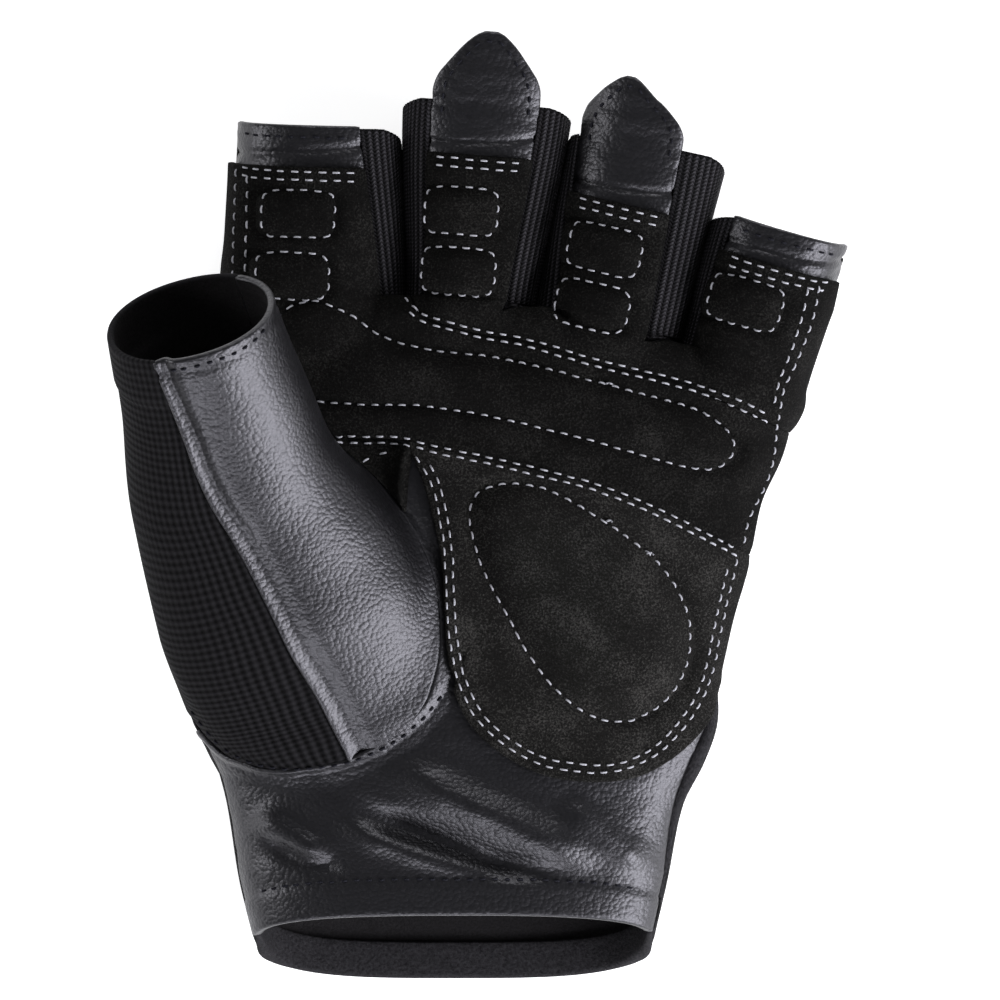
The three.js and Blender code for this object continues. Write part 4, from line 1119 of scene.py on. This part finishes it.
leather_data, leather = hand_sheet("front", 0.8, -1.2 / PALM_LENGTH, leather_end)
leather_data, leather = cut_sheet(leather_data, leather, leather_data["thumb"] + 0.1)
p = leather_data["p"]
fold = fold_at(p) * smoothstep(p[:, 1], 11, 16)
ring = groove(leather_data["thumb"], 0.8) * 0.15 - groove(leather_data["thumb"] - 2.0, 0.6) * 0.2
over = leather_data["above_hem"]
turned = 0.3 * (1 - smoothstep(over, HEM_ROW, HEM_ROW + 1.2)) - 0.35 * groove(over - HEM_ROW, 0.7)
wrinkles = 0.14 * waves(p * [0.5, 1.6, 1], 9, 7) + 0.07 * waves(p * [0.7, 1.6, 1], 3.5, 8)
level = LEATHER + fold + wrinkles * smoothstep(over, 4, 9) + ring + turned
folded = 0.8 * (1 - smoothstep(over, HEM_HEIGHT - 0.4, HEM_HEIGHT))
add_sheet("leather_palm", leather_data, leather, level, level - LEATHER - folded, 0.5,
          [LEATHER_SKIN, LINING], ["palm_leather", "palm_hem"])

# Leather beyond the suede on each finger, and a pull tab's width at shares of its length
TAB_SHAPE = smooth_curve([
    (0, 1), (0.2, 0.97), (0.36, 0.87), (0.5, 0.72), (0.65, 0.55), (0.8, 0.38), (0.9, 0.25), (0.96, 0.16),
    (1, 0.07),
])


def finger_tip(finger):
    tab = finger["tab"] / finger["length"]
    last = 1 + tab
    rows, cols = round((last - finger["suede_end"] + TUCK) * finger["length"] / 0.5), 44
    t = np.linspace(finger["suede_end"] - 0.05, last, rows + 1)[:, None]
    beyond = np.clip((t - 1) / (tab or 1), 0, 1)
    narrow = np.interp(beyond, TAB_SHAPE[:, 0], TAB_SHAPE[:, 1])
    share = 0.5 + (np.linspace(0, 1, cols + 1)[None] - 0.5) * narrow
    t = t + 0 * share
    p, n = on_form(front_point(finger, share, t), hand_distance)
    data = {"p": p.reshape(-1, 3), "n": n.reshape(-1, 3), "t": t.ravel(), "share": share.ravel()}
    data["uv"] = data["p"][:, :2].copy()
    return data, grid_triangles(rows + 1, cols + 1)


for finger in FINGERS:
    data, triangles = finger_tip(finger)
    name = finger["name"]
    p = data["p"]
    level = LEATHER + 0.12 * waves(p * [0.5, 1.7, 1], 6, 11) + 0.06 * waves(p * [0.6, 1.5, 1], 2.6, 12)
    crease = (data["t"] - finger["suede_end"]) * finger["length"] - 2.2 - 2.0 * data["share"] ** 2
    level += 0.4 * smoothstep(data["t"], 0.98, 1.1) - 0.45 * groove(crease, 0.6)
    node = name + ("_pull_tab" if finger["tab"] else "_tip")
    add_sheet(f"leather_{name}_end", data, triangles, level, level - LEATHER, 0.5,
              [LEATHER_SKIN, LINING], [node])


# Knit between the fingers
def gusset(left, right):
    """Knit from one finger's side, round the crotch and up the next finger's side."""
    cells = 44

    def wing(finger, on_right, t):
        half = finger_half(finger, t)[0]
        gap = math.degrees(1) * SEAM_GAP / half
        start = SEAM_GAP / finger["length"]
        share = np.linspace(0, 1, cells + 1)[None]

        def along(angle):
            return lerp(start, mouth_end(finger, angle), t)

        back = finger["right_back"] - gap if on_right else finger["left_back"] - 360 + gap
        aside = gap if on_right else -gap
        edge = strip_angle(finger, "front", 1.0 if on_right else 0.0, along(0.0)) + aside
        angle = lerp(edge, back, share)
        return finger_point(finger, angle, along(angle))

    rows = round(left["length"] / 0.7)
    t = np.linspace(0, 1, rows + 1)[:, None]
    down, up = wing(left, True, t[::-1]), wing(right, False, t)
    web = [lerp(down[-1], up[0], s)[None] for s in np.linspace(0, 1, 8)[1:-1]]
    points = np.concatenate([down, *web, up])
    p, n = on_form(points, hand_distance)
    along = lengths(p[:, cells // 3])
    width = np.linalg.norm(np.diff(p, axis=1), axis=2).sum(1).mean()
    uv = np.stack(np.broadcast_arrays(np.linspace(0, width, cells + 1)[None], along[:, None]), -1)
    flat = p.reshape(-1, 3)
    other = np.maximum(finger_distance(left, flat), finger_distance(right, flat))
    across = np.tile(np.linspace(0, 1, cells + 1), len(p))
    puff = np.clip(other / 2 - KNIT + 0.15, 0, 2.2) * np.sin(math.pi * across) ** 0.6
    data = {"p": flat, "n": n.reshape(-1, 3), "uv": uv.reshape(-1, 2), "puff": puff}
    return data, grid_triangles(*p.shape[:2])


for left, right in zip(FINGERS, FINGERS[1:]):
    data, triangles = gusset(left, right)
    name = f"{left['name']}_{right['name']}_gusset"
    level = KNIT + data["puff"] + 0.16 * np.sin(data["uv"][:, 0] * 2 * math.pi / FINGER_RIB)
    add_sheet("knit_" + name, data, triangles, level, data["puff"] * 0.8, 0.4, [FINGER_KNIT], [name])

# The knit back
back_data, back = hand_sheet("back", 1.0, -0.004, mouth_end)
back_data, back = cut_sheet(back_data, back, back_data["thumb"] + 0.1)
add_sheet("knit_back", back_data, back, KNIT, 0.0, 0.4, [BACK_KNIT, LINING], ["back_knit"])


# The thumb
THUMB_LAP = 1.2
SIDE_LAP = 5.0 # how much further the thumb's cloth runs in at the glove's side
THUMB_START = -0.5 # where the thumb's sheet starts, as a share of its length
THUMB_LINE = 84 # length of the thumb's middle line
THUMB_AROUND = np.pi * 40 # way round the stall that sets the sheet's columns
THUMB_ROUND = 18.0 # radius that turns an angle round the thumb into a length of knit
HALF_AROUND = 40 # way across the thumb's leather from seam to seam
TURN_DEPTH = 16 # depth past the ring over which the sheet draws in to the thumb's axis
KEPT_DEPTH = 8 # depth inside the hand to which the sheet is kept before it is cut
GLOVE_SIDE = (44, 50) # how far out the glove's side begins, and where it is reached


def thumb_sheet(start, end, step):
    """The thumb's cloth between two angles, from inside the palm to the mouth."""
    rows = round((1 - THUMB_START) * THUMB_LINE / step)
    t = np.linspace(THUMB_START, 1, rows + 1)
    first, last = start(t)[:, None], end(t)[:, None]
    cols = round(THUMB_AROUND * float(np.max(last - first)) / 360 / step)
    share = np.linspace(0, 1, cols + 1)[None]
    angle = lerp(first, last, share)
    raw = thumb_point(angle, t[:, None] + 0 * angle)
    turned_in = np.clip(-past_ring(raw) / TURN_DEPTH, 0, 1)[..., None]
    raw = lerp(raw, thumb_at(t[:, None] + 0 * angle)[0], turned_in)
    field = hand_distance(raw.reshape(-1, 3))
    data = {"p": raw.reshape(-1, 3), "angle": angle.ravel(), "t": (t[:, None] + 0 * angle).ravel(),
            "hand": field, "share": (share + 0 * angle).ravel()}
    triangles = grid_triangles(rows + 1, cols + 1)
    triangles = triangles[(field[triangles] > -KEPT_DEPTH).any(1)]
    data, triangles = compact(data, triangles)
    data["p"], data["n"] = on_form(data["p"])
    lap = THUMB_LAP + SIDE_LAP * smoothstep(-data["p"][:, 0], *GLOVE_SIDE)
    data["inward"] = np.minimum(data["hand"], past_ring(data["p"]))
    data, triangles = cut_sheet(data, triangles, data["inward"] + lap)
    data["uv"] = np.stack([np.radians(data["angle"]) * THUMB_ROUND, data["t"] * THUMB_LINE], 1)
    return data, triangles


def thumb_seam(t):
    return column(THUMB_SECTIONS, "seam", np.maximum(t, 0))


def thumb_level(data, wall):
    """The outer level of the thumb's cloth, which dips under the palm leather at the seam."""
    return wall - (wall + 0.3) * (1 - smoothstep(data["hand"], -0.35, 0.6))


THUMB_STEP = 0.7
data, triangles = thumb_sheet(
    lambda t: thumb_seam(t) + 0.8, lambda t: THUMB_BACK_SEAM + 0 * t, THUMB_STEP)
beside_seam = data["share"] * HALF_AROUND
to_mouth = (1 - data["t"]) * THUMB_LINE
level = thumb_level(data, LEATHER + 0.15) + 0.2 * waves(data["p"], 14, 13)
level = level - 0.8 * groove(beside_seam - 1.5, 1.0) + 0.35 * groove(beside_seam, 0.35)
level = level - 0.3 * groove(to_mouth - 1.8, 0.5)
add_sheet("leather_thumb", data, triangles, level, level - LEATHER, 0.5,
          [LEATHER_SKIN, LINING], ["thumb_leather"])

data, triangles = thumb_sheet(
    lambda t: THUMB_BACK_SEAM + 1.0 + 0 * t, lambda t: 360 + thumb_seam(t) - 0.4, THUMB_STEP)
to_mouth = (1 - data["t"]) * THUMB_LINE
level = thumb_level(data, KNIT) + 0.45 * (1 - smoothstep(to_mouth, 7.4, 8.2))
add_sheet("knit_thumb", data, triangles, level, level - KNIT, 0.5,
          [THUMB_KNIT, LINING], ["thumb_knit"])


# Bindings
def swept(rings):
    """A closed body through rings of points, with a fan over each end."""
    count, around = rings.shape[:2]
    points = np.concatenate([rings.reshape(-1, 3), rings[:1].mean(1), rings[-1:].mean(1)])
    index = np.arange(count * around).reshape(count, around)
    a, b = index[:-1], np.roll(index[:-1], -1, 1)
    c, d = np.roll(index[1:], -1, 1), index[1:]
    faces = [quads(a, b, c, d)]
    first, last = index[0], index[-1]
    faces.append(np.stack([np.full(around, count * around), np.roll(first, -1), first], 1))
    faces.append(np.stack([np.full(around, count * around + 1), last, np.roll(last, -1)], 1))
    return points, np.concatenate(faces)


def outward(points, faces):
    """The faces turned so that the body's volume is positive."""
    a, b, c = (points[faces[:, k]] for k in range(3))
    return faces if np.sum(a * np.cross(b, c)) > 0 else faces[:, ::-1]


def add_binding(name, node, rings):
    points, faces = swept(rings)
    piece = add_mesh(name, points, outward(points, faces), [BINDING])
    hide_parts(node)


def hem_band(side, wall):
    """A binding folded round the cuff's edge: a loop of heights and levels at each column."""
    cols = Columns(side, 1.0)
    bottom, thick = -0.35, 1.0
    seat = wall + 0.1
    outer, inner = seat + thick, -0.1 - thick
    middle, half = (outer + inner) / 2, (outer - inner) / 2
    profile = [(HEM_HEIGHT, seat), (HEM_HEIGHT, outer - 0.2), (HEM_HEIGHT - 0.3, outer)]
    profile += [(s * HEM_HEIGHT, outer) for s in (0.8, 0.6, 0.4, 0.2)]
    for k in range(9):
        turn = math.pi * k / 8
        profile.append((bottom - thick * math.sin(turn), middle + half * signed_power(math.cos(turn), 0.7)))
    profile += [(s * HEM_HEIGHT, inner) for s in (0.25, 0.5, 0.75)]
    profile += [(HEM_HEIGHT - 0.3, inner), (HEM_HEIGHT, inner + 0.2), (HEM_HEIGHT, -0.1)]
    profile = np.array([*profile, (bottom, -0.1), (bottom, seat)])
    angle = cols.angles(np.zeros((1, len(cols.root))))
    y = hem_height(angle) + profile[:, :1]
    p, n = on_form(palm_point(cols.angles(y), y), hand_distance)
    from_side = np.minimum(angle - SIDE_SEAM, 360 - SIDE_SEAM - angle)
    full = 0.35 + 0.65 * smoothstep(from_side, 6, 32)
    return (p + n * (profile[:, 1:] * full)[..., None]).transpose(1, 0, 2)


def vent_roll():
    """A roll of binding along the slit, as wide as the slit is there."""
    cols = Columns("front", 3.0)
    first = hem_height(np.array([SIDE_SEAM]))[0] + HEM_HEIGHT
    y = np.linspace(first, VENT_END * 0.97, 60)
    edge = cols.angle_of(np.full(len(y), len(cols.coarse) - 1), y)
    a, na = on_form(palm_point(edge, y), hand_distance)
    b, nb = on_form(palm_point(SIDE_SEAM + 0 * y, y), hand_distance)
    across = a - b
    half = np.maximum(np.linalg.norm(across, axis=1) / 2 - 0.2, 0.3)[:, None]
    normal = unit(na + nb)
    middle = (a + b) / 2 + normal * 0.9
    turn = np.linspace(0, 2 * math.pi, 20, endpoint=False)
    height = np.minimum(2.8, half * 1.7) / 2
    rings = middle[:, None] + unit(across)[:, None] * (np.cos(turn)[None, :] * half)[..., None]
    return rings + normal[:, None] * (np.sin(turn)[None, :] * height)[..., None]


add_binding("binding_back_hem", "back_hem", hem_band("back", KNIT))
add_binding("binding_vent", "vent_binding", vent_roll())

# The strap on the back
STRAP_WIDTH = 24
STRAP_ALONG = 24.5
STRAP_THICK = 2.0
STRAP_TAPER = (185, 50) # the angle where the strap starts to narrow, and over how many degrees


def strap_half(angle):
    """Half the strap's width at an angle round the glove."""
    share = np.clip((angle - STRAP_TAPER[0]) / STRAP_TAPER[1], 0, 1)
    return np.sqrt(1 - 0.7 * share ** 2) * STRAP_WIDTH / 2


def strap_sheet():
    angle = np.linspace(112, 232, 90)[:, None]
    row = np.linspace(-1, 1, 33)[None]
    y = STRAP_ALONG + row * strap_half(angle)
    p, n = on_form(palm_point(angle + 0 * y, y), hand_distance)
    data = {"p": p.reshape(-1, 3), "n": n.reshape(-1, 3)}
    data["uv"] = np.stack([(row + 0 * angle).ravel() * STRAP_WIDTH / 2, (angle + 0 * row).ravel() * 0.6], 1)
    return data, grid_triangles(*p.shape[:2])


data, triangles = strap_sheet()
add_sheet("strap", data, triangles[:, ::-1], KNIT + 0.3 + STRAP_THICK, KNIT + 0.3, 0.5,
          [BINDING], ["closure_strap"])


# Stitches
def joined(bodies):
    """Several bodies' points and faces as one body's."""
    offset, points, faces = 0, [], []
    for p, f in bodies:
        points.append(p)
        faces.append(f + offset)
        offset += len(p)
    return np.concatenate(points), np.concatenate(faces)


def surface_tree(surfaces):
    points, faces = joined(surfaces)
    return BVHTree.FromPolygons(points.tolist(), faces.tolist())


def resample(line, step, closed=False):
    line = np.concatenate([line, line[:1]]) if closed else np.asarray(line, float)
    along = lengths(line)
    s = np.arange(0, along[-1], step)
    return np.stack([np.interp(s, along, line[:, k]) for k in range(line.shape[1])], 1)


def draped(line, tree, closed=False, smooth=3):
    """Places on a surface under a line seen from the palm side, with their normals."""
    spots = []
    for x, y in resample(np.asarray(line, float), 0.3, closed):
        hit, normal, _, _ = tree.ray_cast(Vector((x, y, 120)), Vector((0, 0, -1)))
        if hit is not None:
            spots.append((*hit, *normal))
    spots = np.array(spots)
    for _ in range(smooth):
        spots[1:-1] = (spots[:-2] + 2 * spots[1:-1] + spots[2:]) / 4
    return spots[:, :3], unit(spots[:, 3:])


THREAD_RING = 6
STITCH_RINGS = 7


def stitched(path, period=2.45, length=1.65, radius=0.18, proud=0.06, seed=1):
    """One stitch after another along a path of points and normals: points and faces."""
    p, n = path
    along = lengths(p)
    rng = np.random.default_rng(seed)
    count = max(1, int(along[-1] / period))
    start = np.arange(count) * along[-1] / count + 0.2 + rng.normal(0, 0.05, count)
    tau = np.linspace(0, 1, STITCH_RINGS)
    s = start[:, None] + (length + rng.normal(0, 0.08, count))[:, None] * tau
    place, normal = (np.stack([np.interp(s, along, v[:, k]) for k in range(3)], -1) for v in (p, n))
    normal = unit(normal)
    tangent = unit(np.gradient(place, axis=1))
    cross = unit(np.cross(normal, tangent))
    rise = proud + 0.16 * np.sin(math.pi * tau) - 0.42 * np.abs(2 * tau - 1) ** 4
    thick = radius * (1 - 0.5 * np.abs(2 * tau - 1) ** 5)
    middle = place + normal * rise[None, :, None]
    middle = middle + cross * rng.normal(0, 0.05, count)[:, None, None]
    turn = np.linspace(0, 2 * math.pi, THREAD_RING, endpoint=False)
    ring = normal[:, :, None] * np.cos(turn)[:, None] + cross[:, :, None] * np.sin(turn)[:, None]
    points = middle[:, :, None] + ring * thick[None, :, None, None]
    index = np.arange(points[..., 0].size).reshape(points.shape[:3])
    a, d = index[:, :-1], index[:, 1:]
    b, c = np.roll(a, -1, 2), np.roll(d, -1, 2)
    faces = [quads(a, b, c, d)]
    for k in range(1, THREAD_RING - 1):
        faces.append(np.stack([index[:, 0, 0], index[:, 0, k + 1], index[:, 0, k]], -1))
        faces.append(np.stack([index[:, -1, 0], index[:, -1, k], index[:, -1, k + 1]], -1))
    return points.reshape(-1, 3), np.concatenate(faces)


def add_stitches(name, paths, made, **sizes):
    """Stitches along every path that is long enough, as one piece."""
    points, faces = joined(
        stitched(path, seed=k + 1, **sizes) for k, path in enumerate(paths) if len(path[0]) > 3)
    add_mesh(name, points, outward(points, faces), [made])


def beside(line, by):
    """A line shifted sideways to its left."""
    line = np.asarray(line, float)
    along = np.gradient(line, axis=0)
    along /= np.maximum(np.linalg.norm(along, axis=1, keepdims=True), 1e-9)
    return line + np.stack([-along[:, 1], along[:, 0]], 1) * by


def between_x(line, low, high):
    return line[(line[:, 0] > low) & (line[:, 0] < high)]


SUEDE_TREE = surface_tree(SUEDE_SURFACES)
INDEX_SIDE = [[(-47.6, 140.6), (-48.0, 130), (-48.4, 117)], [(-45.5, 139.2), (-45.7, 130), (-46.0, 118)]]
LITTLE_INNER = [(55.4, 118.8), (54.1, 112.6), (51.6, 105.2), (50.2, 101.6), (49.2, 97)]
LITTLE_OUTER = np.vstack([LITTLE_SIDE[:-2], [57.6, 120.0]])
HEEL_ROW = smooth_curve(palm_places([
    (-0.301, 0.770), (-0.223, 0.731), (-0.159, 0.669), (-0.126, 0.606), (-0.093, 0.543),
    (-0.053, 0.481), (-0.005, 0.418), (0.055, 0.363), (0.157, 0.324), (0.333, 0.288), (0.509, 0.276),
    (0.595, 0.274), (0.713, 0.282), (0.815, 0.306), (0.904, 0.356), (0.965, 0.395), (1.0, 0.434),
    (1.0, 0.481), (0.99, 0.543), (0.985, 0.590), (0.985, 0.614),
]))
WEB_ROW = smooth_curve([(-26.5, 85.9), (-24.1, 87.7), (-21.6, 88.8), (-18.6, 89.4)])


def across_finger(finger, t, low, high, count):
    """A line across a finger's front, seen from the palm side."""
    share = np.linspace(low, high, count)
    return front_point(finger, share, np.full(count, t))[:, :2]


def finger_row(finger, below):
    """A row across a finger, some way below the end of its suede."""
    return across_finger(finger, finger["suede_end"] - below / finger["length"], 0.01, 0.99, 20)


rows = [
    between_x(beside(KNUCKLE_LINE, 0.6), -17.5, 48.5), between_x(beside(KNUCKLE_LINE, -0.7), -17.0, 49),
    between_x(beside(BAR_LINE, 0.55), -40, 43.4), between_x(beside(BAR_LINE, -0.65), -40, 43.6),
    HEEL_ROW, beside(HEEL_ROW, 1.35)[6:-8], WEB_ROW,
    *[smooth_curve(line) for line in (*INDEX_SIDE, LITTLE_OUTER, LITTLE_INNER)],
    *[finger_row(finger, below) for finger in FINGERS for below in (0.8, 2.3)],
]
paths = [draped(row, SUEDE_TREE) for row in rows]
paths += [draped(line, SUEDE_TREE, closed=True) for line in PAD_LINES.values()]
add_stitches("stitching_palm", paths, THREAD_WHITE)

# Thread ends knotted off beside a few rows
KNOTS = [(-3.2, 136.4), (19.6, 101.4), (19.6, 76.8), (27.0, 70.9)]
knots = [smooth_curve([(x - 0.8, y - 0.2), (x, y + 0.3), (x + 0.9, y - 0.3)]) for x, y in KNOTS]
knots = [draped(knot, SUEDE_TREE) for knot in knots]
add_stitches("stitching_knots", knots, THREAD_WHITE, period=0.5, length=0.8, radius=0.17, proud=0.25)

# Dark stitches on the leather
ALL_TREE = surface_tree(SURFACES)


def tip_row(finger):
    """A row across a finger's leather hem."""
    return across_finger(finger, 1 - 1.8 / finger["length"], 0.05, 0.95, 24)


def tab_row(finger, inset):
    """A row just inside a pull tab's outline."""
    last = 1 + finger["tab"] / finger["length"]
    t = np.linspace(0.93, last - inset / finger["length"], 30)
    beyond = np.clip((t - 1) / (last - 1), 0, 1)
    wide = np.interp(beyond, TAB_SHAPE[:, 0], TAB_SHAPE[:, 1]) / 2 - inset / 19
    share = np.concatenate([0.5 - wide, (0.5 + wide)[::-1]])
    t = np.concatenate([t, t[::-1]])
    return front_point(finger, share, t)[:, :2]


around = np.linspace(-66, 58, 60)
hem_row = palm_point(around, hem_height(around) + HEM_ROW)[:, :2]
ring_row = smooth_curve(RING_SEAM[2:-1]) - [0, 2.0]
mouth_row = thumb_point(np.linspace(-22, 70, 30), np.full(30, 1 - 1.9 / THUMB_LINE))[:, :2]
index, middle, ring, little = FINGERS
rows = [hem_row, ring_row, mouth_row, tip_row(index), tip_row(little)]
rows += [tab_row(middle, 1.5), tab_row(ring, 1.5)]
dark_paths = [draped(row, ALL_TREE) for row in rows]
for edge in (-1, 1):
    angle = np.linspace(114, 230, 120)
    y = STRAP_ALONG + edge * (strap_half(angle) - 2.2)
    p, n = on_form(palm_point(angle, y), hand_distance)
    dark_paths.append((p + n * (KNIT + STRAP_THICK), n))
add_stitches("stitching_dark", dark_paths, THREAD_BLACK, period=2.2, length=1.35, radius=0.22)

# The floor and the lights
floor_mesh = bpy.data.meshes.new("floor")
floor_corners = [(x, y, -0.0002) for x, y in ((-2, -2), (2, -2), (2, 2), (-2, 2))]
floor_mesh.from_pydata(floor_corners, [], [(0, 1, 2, 3)])
floor = bpy.data.objects.new("floor", floor_mesh)
bpy.context.scene.collection.objects.link(floor)
made, nodes, links, shader = new_material("floor")
shader.inputs["Base Color"].default_value = (0.9, 0.9, 0.9, 1)
shader.inputs["Roughness"].default_value = 0.9
shader.inputs["Emission Color"].default_value = (1, 1, 1, 1)
shader.inputs["Emission Strength"].default_value = 0.6
floor_mesh.materials.append(made)


def area_light(name, place, target, size, power, colour=(1, 1, 1)):
    light = bpy.data.lights.new(name, "AREA")
    light.shape = "RECTANGLE"
    light.size, light.size_y = size
    light.energy = power
    light.color = colour
    made = bpy.data.objects.new(name, light)
    made.location = place
    made.rotation_euler = (Vector(target) - Vector(place)).to_track_quat("-Z", "Y").to_euler()
    bpy.context.scene.collection.objects.link(made)
    return made


area_light("low", (0.70, -0.42, 0.34), (0, -0.02, 0.03), (0.75, 0.42), 15.5, (0.96, 0.96, 1.0))
area_light("near", (-0.10, -0.80, 0.45), (0, -0.05, 0.03), (0.5, 0.25), 4.5, (0.96, 0.96, 1.0))
area_light("left", (-0.85, 0.05, 0.32), (0, 0, 0.03), (0.35, 0.25), 3.0)
area_light("far", (0.10, 0.85, 0.40), (0, 0, 0.03), (0.5, 0.25), 3.0)
world = bpy.data.worlds.new("world")
world.use_nodes = True
world.node_tree.nodes["Background"].inputs["Color"].default_value = (0.95, 0.96, 1.0, 1)
world.node_tree.nodes["Background"].inputs["Strength"].default_value = 0.2
bpy.context.scene.world = world
bpy.context.scene.view_settings.view_transform = "Standard"
